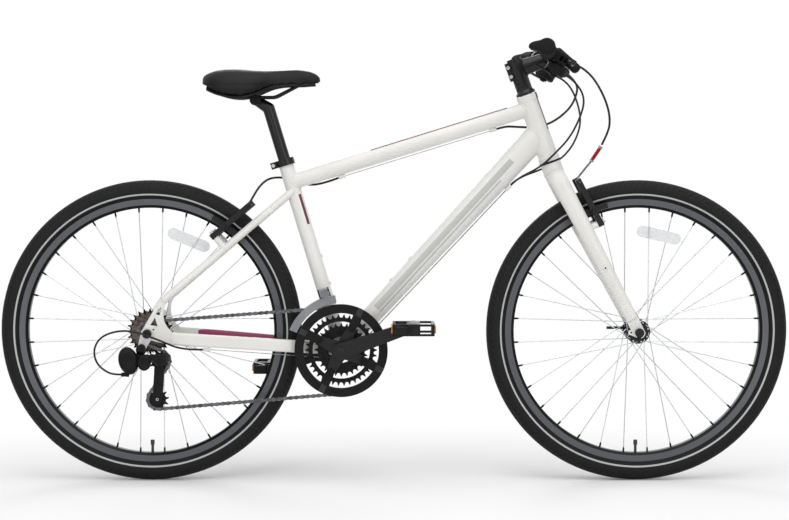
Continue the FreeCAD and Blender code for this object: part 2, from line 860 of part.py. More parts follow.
def rear_stays():
    """Chainstays, seatstays, their bridges and the rear brake posts."""
    pieces = []
    for _, side in SIDES:
        spread = side * DROPOUT_LINE
        run = s.chainstay_end_run
        line = CRANK_AXIS - CHAIN_AHEAD * s.chainstay_tyre_reach
        near = CRANK_AXIS - CHAIN_AHEAD * s.chainstay_ring_reach
        points = [
            sideways(CRANK_AXIS, side * s.chainstay_root_spread),
            sideways(near, side * s.chainstay_ring_spread),
            sideways(line, side * s.chainstay_tyre_spread),
            sideways(CHAIN_END + CHAIN_AHEAD * run, spread),
            sideways(CHAIN_END, spread),
        ]
        wire = route(points, [s.chainstay_ring_reach, s.chainstay_ring_reach, s.chainstay_end_run])
        start = (points[1] - points[0]).normalize()
        across = UP.cross(start).normalize()
        section = rounded_rectangle(points[0], across, s.chainstay_width, start.cross(across),
                                    s.chainstay_height, s.chainstay_corner)
        pieces.append(cut(feature(swept(wire, section)), shell_bar()))
        top = [
            sideways(STAY_TOP, side * s.seatstay_root_spread),
            sideways(STAY_TOP - STAY_UP * s.seatstay_tyre_reach, side * s.seatstay_tyre_spread),
            sideways(STAY_TOP - STAY_UP * s.seatstay_post_reach, side * s.post_spread),
            sideways(STAY_END + STAY_UP * s.seatstay_end_run, spread),
            sideways(STAY_END, spread),
        ]
        wire = route(top, [s.seatstay_tyre_reach, s.seatstay_tyre_reach, s.seatstay_end_run])
        circle = Part.Circle(top[0], top[1] - top[0], s.seatstay_diameter / 2)
        stay = cut(feature(swept(wire, Part.Wire([circle.toShape()]))), seat_bar())
        pieces.append(stay)
    bridge_at = STAY_TOP - STAY_UP * s.bridge_reach
    half = s.seatstay_tyre_spread
    bridge = cylinder(sideways(bridge_at, -half), SIDE, s.bridge_diameter / 2, 2 * half)
    pieces.append(cut(bridge, pieces[1], pieces[3]))
    for side, stay in ((1, pieces[1]), (-1, pieces[3])):
        pieces.append(brake_post(REAR_PIVOT, STAY_BACK, side, stay))
    deliver("rear_stays", *pieces)


def brake_post(pivot, ahead, side, carrier):
    """Boss and pin on a stay or blade that a brake arm turns on."""
    foot = sideways(pivot, side * s.post_spread) - ahead * s.brake_plane_offset
    base_length = s.brake_plane_offset - s.arm_thickness / 2 - s.fit_clearance
    pin_length = s.brake_plane_offset + s.arm_thickness / 2 + s.fit_clearance
    base = cylinder(foot, ahead, s.post_base_radius, base_length)
    pin = cylinder(foot, ahead, s.post_radius, pin_length)
    head = cylinder(foot + ahead * pin_length, ahead, s.bolt_head_radius, s.bolt_head_height)
    return cut(fuse(base, pin, head), carrier)


# Where the brake shoes meet the rims
SHOE_RADIUS = s.rim_diameter / 2 - s.rim_track_depth / 2
CROWN = HEAD_LOW - STEER_UP * s.crown_drop
BLADE_UP = (CROWN - FRONT_AXLE).normalize()
BLADE_AHEAD = SIDE.cross(BLADE_UP)


def brake_pivot(axle, up, ahead, carrier_offset):
    """Middle of the line through a brake's two pivots, in the plane of its arms."""
    offset = carrier_offset + s.brake_plane_offset
    reach = math.sqrt(SHOE_RADIUS ** 2 - offset ** 2)
    return axle + up * (reach - s.brake_pivot_drop) + ahead * offset


REAR_PIVOT = brake_pivot(REAR_AXLE, STAY_UP, STAY_BACK, (STAY_END - REAR_AXLE).dot(STAY_BACK))
FRONT_PIVOT = brake_pivot(FRONT_AXLE, BLADE_UP, BLADE_AHEAD, 0)

DROPOUT_WINDOW_SHARES = (
    ((0.17, 0.25), (0.62, 0.21), (0.46, 0.48)),
    ((0.50, 0.57), (0.72, 0.53), (0.90, 0.76), (0.74, 0.80)),
)
EYELET_SHARES = (0.36, 0.11)


def rear_dropouts():
    """Forged rear ends with windows, axle slot and eyelet, and the derailleur hanger."""
    boss, half = s.dropout_boss_radius, s.chainstay_height / 2
    stay = Vector(s.dropout_stay_reach, s.dropout_stay_rise, 0)
    chain = Vector(s.dropout_chain_reach, -s.dropout_chain_fall, 0)
    back = Vector(STAY_BACK.x, STAY_BACK.z, 0) * (s.seatstay_diameter / 2)
    above = Vector(-CHAIN_AHEAD.z, CHAIN_AHEAD.x, 0) * half
    tangent = math.radians(150)
    hollow = (stay - back - chain - above).Length * 0.75
    outline = [
        (-boss, 0, boss),
        (0, -boss, boss),
        tuple(chain - above)[:2],
        tuple(chain + above)[:2],
        tuple(stay - back)[:2] + (-hollow,),
        tuple(stay + back)[:2],
        (math.cos(tangent) * boss, math.sin(tangent) * boss),
    ]
    windows = [[(x * s.dropout_stay_reach, y * s.dropout_stay_rise) for x, y in shares]
               for shares in DROPOUT_WINDOW_SHARES]
    eyelet = (EYELET_SHARES[0] * s.dropout_stay_reach, EYELET_SHARES[1] * s.dropout_stay_rise,
              s.thread_drill_radius)
    slot = s.axle_diameter / 2 + s.running_clearance
    pieces = []
    for _, side in SIDES:
        edge = s.rear_hub_width / 2 + (s.rear_dropout_thickness if side > 0 else 0)
        base = sideways(REAR_AXLE, side * edge)
        body = plate([outline] + windows, [eyelet], s.rear_dropout_thickness, facing(base, -SIDE, FORWARD))
        mouth = block(Vector(0, side * DROPOUT_LINE, -boss) + sideways(REAR_AXLE, 0),
                      (2 * slot, s.overrun, 2 * boss))
        seat = cylinder(sideways(base, base.y - s.overrun), SIDE, slot, s.overrun * 2)
        pieces.append(cut(body, seat, mouth))
    pieces.append(hanger())
    deliver("rear_dropouts", *pieces)


def hanger():
    """Tab under the right dropout that the rear derailleur bolts to."""
    reach = HANGER - REAR_AXLE
    length = reach.Length
    direction = Vector(reach).normalize()
    inner = s.rear_hub_width / 2 + s.rear_dropout_thickness
    placement = facing(sideways(REAR_AXLE, -inner), -SIDE, direction)
    body = plate([strap_outline(length, s.dropout_boss_radius, s.hanger_radius)],
                 [(length, 0, s.shift_pin_radius * 2)], s.hanger_thickness, placement)
    slot = s.axle_diameter / 2 + s.running_clearance
    return cut(body, cylinder(sideways(REAR_AXLE, -inner - s.overrun), SIDE, slot, s.overrun * 2))


def fork():
    """Steerer, arched crown, tapered blades, tips with eyelets, brake posts and bosses."""
    start = CROWN - BLADE_UP * (s.crown_corner_radius + s.fit_clearance)
    spread = s.blade_top_spread
    points = [sideways(start, spread), sideways(CROWN, spread),
              sideways(CROWN, -spread), sideways(start, -spread)]
    wire = route(points, [s.crown_corner_radius, s.crown_corner_radius])
    top = oval(points[0], BLADE_AHEAD, s.blade_top_depth / 2, SIDE, s.blade_top_width / 2)
    arch = feature(swept(wire, top))
    collar = cylinder(CROWN, STEER_UP, s.crown_collar_diameter / 2, s.crown_drop - s.crown_gap)
    steerer = cylinder(CROWN, STEER_UP, s.steerer_diameter / 2,
                       s.crown_drop + s.head_tube_length + s.spacer_height + s.stem_clamp_height)
    pieces = [fuse(arch, collar, steerer)]
    for _, side in SIDES:
        tip_line = s.front_hub_width / 2 + s.front_dropout_thickness / 2
        end = sideways(FRONT_AXLE + BLADE_UP * s.blade_end_gap, side * tip_line)
        first = sideways(start, side * spread)
        blade = feature(loft(
            oval(first, BLADE_AHEAD, s.blade_top_depth / 2, SIDE, s.blade_top_width / 2),
            oval(end, BLADE_AHEAD, s.blade_end_depth / 2, SIDE, s.blade_end_width / 2)))
        share = 1 - (s.fork_boss_distance - s.blade_end_gap) / (start - end).Length
        middle = first + (end - first) * share
        width = s.blade_top_width + (s.blade_end_width - s.blade_top_width) * share
        boss = sideways(middle, middle.y + side * width / 2)
        outward = SIDE * side
        blade = cut(blade, boss_hole(boss, outward), boss_seat(boss, outward))
        tip = plate([fork_tip_outline()],
                    [(-s.front_eyelet_back, 0, s.thread_drill_radius)],
                    s.front_dropout_thickness,
                    facing(sideways(FRONT_AXLE, side * (tip_line + side * s.front_dropout_thickness / 2)),
                           -SIDE, FORWARD))
        slot = s.axle_diameter / 2 + s.running_clearance
        mouth = block(sideways(FRONT_AXLE, side * tip_line) - UP * s.front_dropout_radius,
                      (2 * slot, s.overrun, 2 * s.front_dropout_radius))
        seat = cylinder(sideways(FRONT_AXLE, side * tip_line - s.overrun), SIDE, slot, s.overrun * 2)
        tip = cut(tip, seat, mouth)
        post = brake_post(FRONT_PIVOT, BLADE_AHEAD, side, blade)
        pieces += [blade, tip, threaded_boss(boss, outward), post]
    deliver("fork", *pieces)


def fork_tip_outline():
    """Outline of a fork tip about the axle: round boss, eyelet ear and root on the blade."""
    radius = s.front_dropout_radius
    root = Vector(BLADE_UP.x, BLADE_UP.z, 0) * s.blade_end_gap
    half = Vector(BLADE_AHEAD.x, BLADE_AHEAD.z, 0) * (s.blade_end_depth / 2)
    ear, back = s.eyelet_radius, s.front_eyelet_back
    return [
        (-back, ear),
        (-back - ear, 0, ear),
        (-back, -ear, ear),
        (0, -radius),
        (radius, 0, radius),
        tuple(root + half)[:2],
        tuple(root - half)[:2],
    ]


def headset():
    """Bearing rings pressed into both ends of the head tube."""
    bore, inner = s.head_tube_bore / 2, s.steerer_diameter / 2 + s.running_clearance
    rings = []
    for base in (HEAD_LOW, HEAD_TOP - STEER_UP * s.bearing_height):
        ring = cut(cylinder(base, STEER_UP, bore, s.bearing_height),
                   cylinder(base, STEER_UP, inner, s.bearing_height))
        rings.append(ring)
    deliver("headset_bearings", *rings)


STEM_LOW = HEAD_TOP + STEER_UP * (s.crown_gap + s.spacer_height)
STEM_MIDDLE = STEM_LOW + STEER_UP * (s.stem_clamp_height / 2)
BAR = STEM_MIDDLE + STEER_AHEAD * s.stem_length
SPACER_COUNT = 4


def stem():
    """Spacer stack, clamp on the steerer, neck, two-part bar clamp, top cap and bolts."""
    spacer_radius, steer = s.spacer_diameter / 2, s.steerer_diameter / 2
    ridge = s.spacer_height / SPACER_COUNT
    outline = [(steer + s.running_clearance, 0), (s.head_tube_diameter / 2, 0),
               (s.head_tube_diameter / 2, s.cap_height), (spacer_radius, 2 * s.cap_height)]
    for step in range(1, SPACER_COUNT):
        groove = s.running_clearance * 10
        if float(ridge * step) > float(2 * s.cap_height + groove):
            outline += [(spacer_radius, ridge * step - groove), (spacer_radius - groove, ridge * step),
                        (spacer_radius, ridge * step + groove)]
    outline += [(spacer_radius, s.spacer_height), (steer + s.running_clearance, s.spacer_height)]
    spacers = turned([outline], HEAD_TOP + STEER_UP * s.crown_gap, STEER_UP)
    clamp = cylinder(STEM_LOW, STEER_UP, s.stem_clamp_diameter / 2, s.stem_clamp_height)
    ear_depth = s.stem_clamp_diameter / 2 + s.bolt_head_radius
    frame = facing(STEM_MIDDLE, STEER_UP, STEER_AHEAD)
    ears = block(Vector(-ear_depth / 2, 0, 0),
                 (ear_depth, s.stem_neck_width * 0.8, s.stem_clamp_height), frame)
    neck = feature(loft(
        oval(STEM_MIDDLE, STEER_UP, s.stem_neck_depth / 2 + s.cap_height, SIDE, s.stem_neck_width / 2),
        oval(BAR, STEER_UP, s.stem_neck_depth / 2, SIDE, s.stem_neck_width / 2)))
    grip = cylinder(sideways(BAR, -s.bar_clamp_width / 2), SIDE, s.bar_clamp_diameter / 2, s.bar_clamp_width)
    body = cut(fuse(clamp, ears, neck, grip),
               through(STEM_LOW, STEER_UP, steer + s.running_clearance, s.stem_clamp_height),
               through(sideways(BAR, -s.bar_clamp_width / 2), SIDE, s.bar_diameter / 2 + s.running_clearance,
                       s.bar_clamp_width),
               block(Vector(-s.stem_clamp_diameter / 2, 0, 0),
                     (s.stem_clamp_diameter, s.seat_slot_width / 2, 2 * s.stem_clamp_height), frame),
               block(Vector(s.stem_length + s.bolt_radius, 0, 0),
                     (s.seat_slot_width / 2, 2 * s.bar_clamp_width, 2 * s.bar_clamp_diameter), frame))
    cap = cylinder(STEM_LOW + STEER_UP * s.stem_clamp_height, STEER_UP,
                   s.stem_clamp_diameter / 2 - s.bolt_radius, s.cap_height)
    bolts = []
    for step in (-1, 1):
        at = frame.multVec(Vector(-s.stem_clamp_diameter / 2, -s.stem_neck_width * 0.4,
                                  step * s.stem_clamp_height / 4))
        bolts.append(cylinder(at - SIDE * s.bolt_head_height, SIDE, s.bolt_head_radius, s.bolt_head_height))
    top = STEM_LOW + STEER_UP * (s.stem_clamp_height + s.cap_height)
    bolts.append(cylinder(top, STEER_UP, s.bolt_head_radius, s.bolt_head_height / 2))
    deliver("stem", spacers, body, cap, *bolts)


def bar_points():
    """The handlebar's line from end to end."""
    half = s.bar_straight / 2
    tip = Vector(-s.bar_sweep, 0, s.bar_rise)
    return [BAR + tip - SIDE * (s.bar_width / 2), BAR - SIDE * half,
            BAR + SIDE * half, BAR + tip + SIDE * (s.bar_width / 2)]


def bar_direction(side):
    """Direction of the bar's outer run, pointing outwards."""
    points = bar_points()
    return (points[3] - points[2]).normalize() if side > 0 else (points[0] - points[1]).normalize()


def bar_end(side):
    """Centre of the bar's end face."""
    return bar_points()[3] if side > 0 else bar_points()[0]


def handlebar():
    """Swept-back flat bar, a hollow tube with a thicker sleeve at the stem."""
    points = bar_points()
    wire = route(points, [s.bar_bend_radius, s.bar_bend_radius])

    def ring(radius):
        return Part.Wire([Part.Circle(points[0], points[1] - points[0], radius).toShape()])

    outer = feature(swept(wire, ring(s.bar_tube_diameter / 2)))
    inner = feature(swept(wire, ring(s.bar_tube_diameter / 2 - s.tube_wall)))
    width = s.bar_clamp_width + s.fit_clearance * 2
    sleeve = cut(cylinder(sideways(BAR, -width / 2), SIDE, s.bar_diameter / 2, width),
                 cylinder(sideways(BAR, -width / 2), SIDE, s.bar_tube_diameter / 2, width))
    deliver("handlebar", cut(outer, inner), sleeve)


def grips():
    """Rubber grips with a closed end and an inner flange."""
    pieces = []
    bore = s.bar_tube_diameter / 2 + s.running_clearance
    radius, flange, length = s.grip_diameter / 2, s.grip_flange_diameter / 2, s.grip_length
    cap = s.grip_cap_thickness
    for _, side in SIDES:
        outline = [
            (0, -cap), (radius - cap, -cap), (radius, 0, cap), (radius, length - s.grip_flange_width),
            (flange, length - s.grip_flange_width), (flange, length), (bore, length), (bore, 0), (0, 0),
        ]
        pieces.append(turned([outline], bar_end(side), -bar_direction(side)))
    deliver("grips", *pieces)


def control_frame(side):
    """Frame of a brake and shift control: X forward and down, Y outwards, Z its hinge line."""
    outward = bar_direction(side)
    droop = math.radians(angles.lever_droop_angle)
    level = Vector(math.cos(droop), 0, -math.sin(droop))
    ahead = (level - outward * level.dot(outward)).normalize()
    centre = bar_end(side) - outward * (s.grip_length + s.pod_gap + s.pod_clamp_width / 2)
    hinge = ahead.cross(outward) if side > 0 else outward.cross(ahead)
    return centre, ahead, outward, hinge


def controls():
    """Clamps on the bar with the lever brackets and the shifter housings."""
    pieces = []
    bore = s.bar_tube_diameter / 2 + s.running_clearance
    cheek = s.lever_thickness + 2 * s.shift_cheek
    for _, side in SIDES:
        centre, ahead, outward, hinge = control_frame(side)
        inner_end = centre - outward * (s.pod_clamp_width / 2)
        clamp = cylinder(inner_end, outward, s.pod_clamp_diameter / 2, s.pod_clamp_width)
        frame = facing(centre, hinge, ahead)
        reach = s.lever_pivot_forward + s.lever_boss_radius
        arm = block(Vector(reach / 2, 0, 0), (reach, s.pod_clamp_width - s.fit_clearance, cheek), frame)
        slot_back = s.lever_pivot_forward - s.lever_boss_radius - s.fit_clearance * 4
        slot_height = s.lever_thickness + 2 * s.fit_clearance
        slot = block(Vector(slot_back + s.lever_run_forward / 2, 0, 0),
                     (s.lever_run_forward, 2 * s.pod_clamp_width, slot_height), frame)
        pin_base = centre + ahead * s.lever_pivot_forward - hinge * (cheek / 2)
        pin = cylinder(pin_base, hinge, s.lever_pivot_radius, cheek)
        disc_top = centre + ahead * s.pod_disc_forward - outward * (s.pod_clamp_width * 0.6)
        disc_top = disc_top - hinge * (s.bar_tube_diameter / 2)
        outline = pod_outline()
        disc = turned([outline], disc_top, -hinge)
        post_length = s.pod_disc_height + s.shift_lever_thickness + 2 * s.fit_clearance
        post = cylinder(disc_top, -hinge, s.lever_pivot_radius, post_length)
        head = cylinder(disc_top - hinge * post_length, -hinge, s.lever_boss_radius * 0.7, s.cap_height / 2)
        body = fuse(cut(fuse(clamp, arm), slot), pin, disc, post, head)
        pieces.append(cut(body, through(inner_end, outward, bore, s.pod_clamp_width)))
    deliver("controls", *pieces)


def pod_outline():
    """Outline of a shifter housing from its top down."""
    radius, height = s.pod_disc_radius, s.pod_disc_height
    round_off = s.cap_height
    return [(0, 0), (radius - round_off, 0), (radius, round_off, round_off),
            (radius, height - round_off), (radius - round_off, height, round_off), (0, height)]


def shift_levers():
    """Thumb levers under the shifter housings."""
    for name, side in SIDES:
        centre, ahead, outward, hinge = control_frame(side)
        top = centre + ahead * s.pod_disc_forward - outward * (s.pod_clamp_width * 0.6)
        top = top - hinge * (s.bar_tube_diameter / 2 + s.pod_disc_height + s.fit_clearance)
        reach = (outward * 0.5 - ahead).normalize()
        body = plate([strap_outline(s.shift_lever_length, s.shift_lever_width / 2 + s.cap_height / 2,
                                    s.shift_lever_width / 2)],
                     [(0, 0, s.lever_pivot_radius + s.running_clearance)], s.shift_lever_thickness,
                     facing(top, -hinge, reach))
        deliver(f"{name}_shift_lever", body)


def brake_levers():
    """Curved lever blades in front of the grips."""
    for name, side in SIDES:
        centre, ahead, outward, hinge = control_frame(side)
        pivot = centre + ahead * s.lever_pivot_forward
        bend = centre + ahead * s.lever_run_forward + outward * s.lever_bend_out
        tip = centre + ahead * (s.lever_run_forward + s.lever_tip_forward) + outward * s.lever_length
        start = (bend - pivot).normalize()
        wire = route([pivot, bend, tip], [s.lever_bend_out])
        section = oval(pivot, hinge, s.lever_thickness / 2 - s.fit_clearance, hinge.cross(start),
                       s.lever_depth / 2)
        blade = feature(swept(wire, section))
        end = cylinder(tip - hinge * (s.lever_thickness / 2), hinge, s.lever_depth * 0.6, s.lever_thickness)
        boss_foot = pivot - hinge * (s.lever_thickness / 2)
        boss = cylinder(boss_foot, hinge, s.lever_boss_radius, s.lever_thickness)
        hole = through(boss_foot, hinge, s.lever_pivot_radius + s.running_clearance, s.lever_thickness)
        deliver(f"{name}_brake_lever", cut(fuse(boss, blade, end), hole))


def seat_clamp():
    """Split collar round the top of the seat tube, closed by a bolt through its ears."""
    radius = s.seat_tube_diameter / 2
    low = SEAT_TOP - SEAT_UP * s.clamp_width
    frame = facing(low + SEAT_UP * (s.clamp_width / 2), SEAT_UP, SIDE.cross(SEAT_UP))
    ring = cylinder(low, SEAT_UP, radius + s.clamp_thickness, s.clamp_width)
    reach = radius + s.clamp_thickness + s.clamp_ear_reach
    ears = block(Vector(-reach / 2, 0, 0), (reach, 2 * s.clamp_ear_width, s.clamp_width), frame)
    slot = block(Vector(-reach / 2, 0, 0), (2 * reach, s.seat_slot_width, 2 * s.clamp_width), frame)
    bolt_at = frame.multVec(Vector(-reach + s.clamp_ear_reach / 2, 0, 0))
    bolt_base = sideways(bolt_at, -s.clamp_ear_width)
    hole = through(bolt_base, SIDE, s.bolt_radius + s.running_clearance, 2 * s.clamp_ear_width)
    front = block(Vector(reach / 2, 0, 0), (reach, 2 * reach, s.clamp_width), frame)
    half_slot = cut(slot, front)
    collar = cut(fuse(ring, ears), through(low, SEAT_UP, radius + s.running_clearance, s.clamp_width),
                 half_slot, hole)
    bolt = fuse(cylinder(bolt_base, SIDE, s.bolt_radius, 2 * s.clamp_ear_width),
                cylinder(bolt_base, -SIDE, s.bolt_head_radius, s.bolt_head_height),
                cylinder(sideways(bolt_at, s.clamp_ear_width), SIDE, s.bolt_head_radius,
                         s.bolt_head_height / 2))
    deliver("seat_clamp", collar, bolt)


def axle(label, centre, hub_width, left_face, right_face):
    """Hollow axle with bearing journals and locknuts, and the skewer with its nut and head."""
    rod, nut, journal = s.axle_diameter / 2, s.locknut_diameter / 2, s.hub_bore / 2 - s.running_clearance
    half = hub_width / 2
    inner, end = half - s.locknut_width, half - s.locknut_width - s.hub_cap_overhang
    outline = [
        (0, -right_face), (rod, -right_face), (rod, -half), (nut, -half), (nut, -inner),
        (journal, -inner), (journal, -end), (rod, -end), (rod, end), (journal, end), (journal, inner),
        (nut, inner), (nut, half), (rod, half), (rod, left_face), (0, left_face),
    ]
    body = turned([outline], centre, SIDE)
    nut_end = cylinder(sideways(centre, -right_face), -SIDE, s.skewer_nut_radius, s.skewer_nut_length)
    head = cylinder(sideways(centre, left_face), SIDE, s.release_head_radius, s.release_head_length)
    pivot = release_pivot(centre, left_face)
    slot = block(pivot + SIDE * s.release_head_length,
                 (s.overrun * 2, 2 * s.release_head_length + s.release_lever_width + s.fit_clearance * 2,
                  s.release_lever_thickness + 2 * s.fit_clearance))
    pin = cylinder(pivot - UP * (s.release_head_radius * 0.8), UP, s.shift_pin_radius,
                   s.release_head_radius * 1.6)
    deliver(label, fuse(body, nut_end, fuse(cut(head, slot), pin)))


def release_pivot(centre, left_face):
    """Middle of the cam pin of a quick release."""
    return sideways(centre, left_face + s.release_head_length * 0.57)


def release_lever(label, centre, left_face):
    """Cam lever of a quick release, closed with its tip to the rear."""
    pivot = release_pivot(centre, left_face)
    half = s.release_lever_thickness / 2
    outline = strap_outline(s.release_lever_length, s.release_lever_width / 2, s.release_lever_width / 3)
    body = plate([outline],
                 [(0, 0, s.shift_pin_radius + s.running_clearance)], s.release_lever_thickness,
                 facing(pivot - UP * half, UP, -FORWARD))
    deliver(label, body)


def tyre(label, centre):
    """Tyre with round tread, thin sides and square beads in the rim."""
    ring = s.tyre_diameter / 2 - s.tyre_width / 2
    outer, inner = s.tyre_width / 2, s.tyre_width / 2 - s.tyre_wall
    lip = s.rim_diameter / 2 + s.fit_clearance
    bead_low = s.rim_diameter / 2 - s.bead_depth
    bead_out = s.rim_width / 2 - s.rim_wall - s.fit_clearance
    bead_in = bead_out - s.bead_thickness
    lip_half = math.sqrt(outer ** 2 - (ring - lip) ** 2)
    bead_top = ring - math.sqrt(inner ** 2 - bead_in ** 2)
    outline = [
        (lip, lip_half), (s.tyre_diameter / 2, 0, -outer), (lip, -lip_half, -outer), (lip, -bead_out),
        (bead_low, -bead_out), (bead_low, -bead_in), (bead_top, -bead_in), (ring + inner, 0, inner),
        (bead_top, bead_in, inner), (bead_low, bead_in), (bead_low, bead_out), (lip, bead_out),
    ]
    deliver(label, turned([outline], centre, SIDE))


def inner_tube(label, centre):
    """Air tube with its valve, which points up from the bottom of the wheel."""
    ring = s.tyre_diameter / 2 - s.tyre_width / 2
    radius = s.tyre_width / 2 - s.tyre_wall - s.tube_slack
    rings = []
    for size in (radius, radius - s.tube_slack):
        torus = doc.addObject("Part::Torus", "ring")
        bind(torus, Radius1=ring, Radius2=size)
        torus.Placement = facing(centre, SIDE)
        rings.append(torus)
    length = ring - (s.rim_diameter / 2 - s.rim_depth) + s.valve_reach
    stem_at = centre - UP * ring
    foot_at = stem_at + UP * (radius - s.tube_slack / 2)
    foot_length = length - radius + s.tube_slack / 2
    valve = cylinder(foot_at, UP, s.valve_radius - s.fit_clearance * 3, foot_length)
    cap_at = stem_at + UP * (length - s.valve_cap_length)
    cap = cylinder(cap_at, UP, s.valve_cap_radius - s.fit_clearance, s.valve_cap_length)
    deliver(label, fuse(cut(*rings), valve, cap))


def spoke_lines(left_spread, right_spread):
    """Each spoke as its hub end, rim end and the inward side of its flange, about the hub."""
    lines = []
    hole = s.flange_hole_circle / 2
    rim_radius = s.rim_diameter / 2 - s.rim_depth
    step = 2 * math.pi / SPOKE_COUNT
    lean_angle = SPOKE_CROSSINGS * 2 * step
    for index in range(SPOKE_COUNT):
        side = 1 if index % 2 == 0 else -1
        spread = left_spread if side > 0 else right_spread
        outer_lying = (index // 2) % 2 == 0
        rim_angle = -math.pi / 2 + step * (index + 0.5)
        hub_angle = rim_angle + (lean_angle if outer_lying else -lean_angle)
        layer = s.flange_thickness / 2 + s.spoke_diameter + s.fit_clearance
        height = spread + layer if outer_lying else spread - layer
        hub_end = Vector(math.cos(hub_angle) * hole, side * height, math.sin(hub_angle) * hole)
        rim_end = Vector(math.cos(rim_angle) * rim_radius, side * s.spoke_diameter / 2,
                         math.sin(rim_angle) * rim_radius)
        lines.append((hub_end, rim_end, -side if outer_lying else side))
    return lines


def bar_shape(base, axis, radius, length):
    """Round bar as a plain shape."""
    return Part.makeCylinder(float(radius), float(length), base, axis)


def spokes(label, centre, lines):
    """Laced wire spokes with bent heads in the flanges and nipples in the rim."""
    wires = []
    radius = s.spoke_diameter / 2
    head_length = s.flange_thickness + s.spoke_diameter + s.spoke_diameter / 2
    for hub_end, rim_end, inward in lines:
        along = (rim_end - hub_end).normalize()
        inside = SIDE * inward
        wire = bar_shape(hub_end, along, radius, (rim_end - hub_end).Length)
        elbow = Part.makeSphere(float(radius), hub_end)
        stub = bar_shape(hub_end, inside, radius * 0.98, head_length)
        head = bar_shape(hub_end + inside * head_length, inside, radius * 1.8, radius)
        nipple_at = rim_end + along * (s.rim_wall + s.fit_clearance * 2)
        nipple = bar_shape(nipple_at, -along, s.nipple_diameter / 2, s.nipple_length)
        seat = bar_shape(nipple_at, along, s.nipple_diameter * 0.68, s.nipple_diameter / 2)
        solid = wire.multiFuse([elbow, stub, head, nipple, seat])
        solid.translate(centre)
        wires.append(solid)
    deliver(label, *[feature(wire) for wire in wires])


def rim(label, centre, lines):
    """Double-wall rim drilled for the nipples and the valve."""
    inner, outer = s.rim_diameter / 2 - s.rim_depth, s.rim_diameter / 2
    half, wall = s.rim_width / 2, s.rim_wall
    bed = outer - s.rim_well_depth
    shoulder = outer - s.rim_track_depth
    nose = half * 0.64
    outline = [
        (inner, -nose), (shoulder, -half), (outer, -half), (outer, wall - half), (bed, wall - half),
        (bed, half - wall), (outer, half - wall), (outer, half), (shoulder, half), (inner, nose),
    ]
    hollow = [
        (inner + wall, wall - nose), (shoulder, wall - half), (bed - wall, wall - half),
        (bed - wall, half - wall), (shoulder, half - wall), (inner + wall, nose - wall),
    ]
    ring = turned([outline, hollow], centre, SIDE)
    holes = [bar_shape(centre - UP * outer, UP, s.valve_radius + s.fit_clearance, s.rim_depth + s.overrun)]
    for hub_end, rim_end, _ in lines:
        along = (rim_end - hub_end).normalize()
        holes.append(bar_shape(rim_end + centre - along * s.rim_wall * 3, along,
                               s.nipple_diameter / 2 + s.running_clearance, s.rim_wall * 6))
    deliver(label, cut(ring, feature(Part.makeCompound(holes))))


def hub(label, centre, hub_width, left_spread, right_spread, lines):
    """Hub shell with two drilled flanges, running on the axle's journals."""
    bore, barrel, flange = s.hub_bore / 2, s.hub_barrel_diameter / 2, s.flange_diameter / 2
    thick = s.flange_thickness / 2
    end = hub_width / 2 - s.locknut_width - s.fit_clearance
    cap = s.locknut_diameter / 2 + s.cap_height / 2
    outline = [
        (bore, -end), (cap, -end), (barrel, -right_spread - thick), (flange, -right_spread - thick),
        (flange, thick - right_spread), (barrel, thick - right_spread), (barrel, left_spread - thick),
        (flange, left_spread - thick), (flange, left_spread + thick), (barrel, left_spread + thick),
        (cap, end), (bore, end),
    ]
    holes = []
    reach = s.flange_thickness * 2
    for hub_end, _, inward in lines:
        holes.append(bar_shape(hub_end + centre, SIDE * inward, s.spoke_diameter / 2 + s.running_clearance,
                               reach + s.spoke_diameter))
    deliver(label, cut(turned([outline], centre, SIDE), feature(Part.makeCompound(holes))))


def reflector(label, centre, direction, left_half, right_half):
    """Wheel reflector held between the two layers of spokes."""
    middle = centre + direction * s.reflector_radius
    along = SIDE.cross(direction)
    placement = facing(sideways(middle, -right_half), SIDE, along)
    half, end = s.reflector_length / 2, s.reflector_height / 2
    body = plate([[(-half + end, end), (-half, 0, end), (-half + end, -end, end), (half - end, -end),
                   (half, 0, end), (half - end, end, end)]], [], left_half + right_half, placement)
    deliver(label, body)


def wheel(name, centre, hub_width, left_spread, right_spread, reflector_angle):
    """One wheel: tyre, tube, rim, spokes, hub and reflector."""
    lines = spoke_lines(left_spread, right_spread)
    tyre(f"{name}_tyre", centre)
    inner_tube(f"{name}_inner_tube", centre)
    rim(f"{name}_rim", centre, lines)
    spokes(f"{name}_spokes", centre, lines)
    hub(f"{name}_hub", centre, hub_width, left_spread, right_spread, lines)
    turn = math.radians(reflector_angle)
    direction = Vector(math.cos(turn), 0, math.sin(turn))
    outer = s.reflector_radius + s.reflector_height / 2
    rim_radius = s.rim_diameter / 2 - s.rim_depth
    left = spoke_gap(left_spread, outer, rim_radius)
    right = spoke_gap(right_spread, outer, rim_radius)
    reflector(f"{name}_reflector", centre, direction, left, right)


def spoke_gap(spread, radius, rim_radius):
    """Room between the wheel's middle plane and the inner layer of spokes at a radius."""
    flange_line = spread - s.flange_thickness / 2 - s.spoke_diameter - s.fit_clearance
    hole, end, reach = float(s.flange_hole_circle / 2), float(rim_radius), float(radius)
    lean_cosine = math.cos(SPOKE_CROSSINGS * 4 * math.pi / SPOKE_COUNT)
    square = hole ** 2 + end ** 2 - 2 * hole * end * lean_cosine
    slope = 2 * hole * end * lean_cosine - 2 * hole ** 2
    share = (math.sqrt(slope ** 2 - 4 * square * (hole ** 2 - reach ** 2)) - slope) / 2 / square
    line = flange_line + (s.spoke_diameter / 2 - flange_line) * share
    return line - s.spoke_diameter / 2 - s.fit_clearance


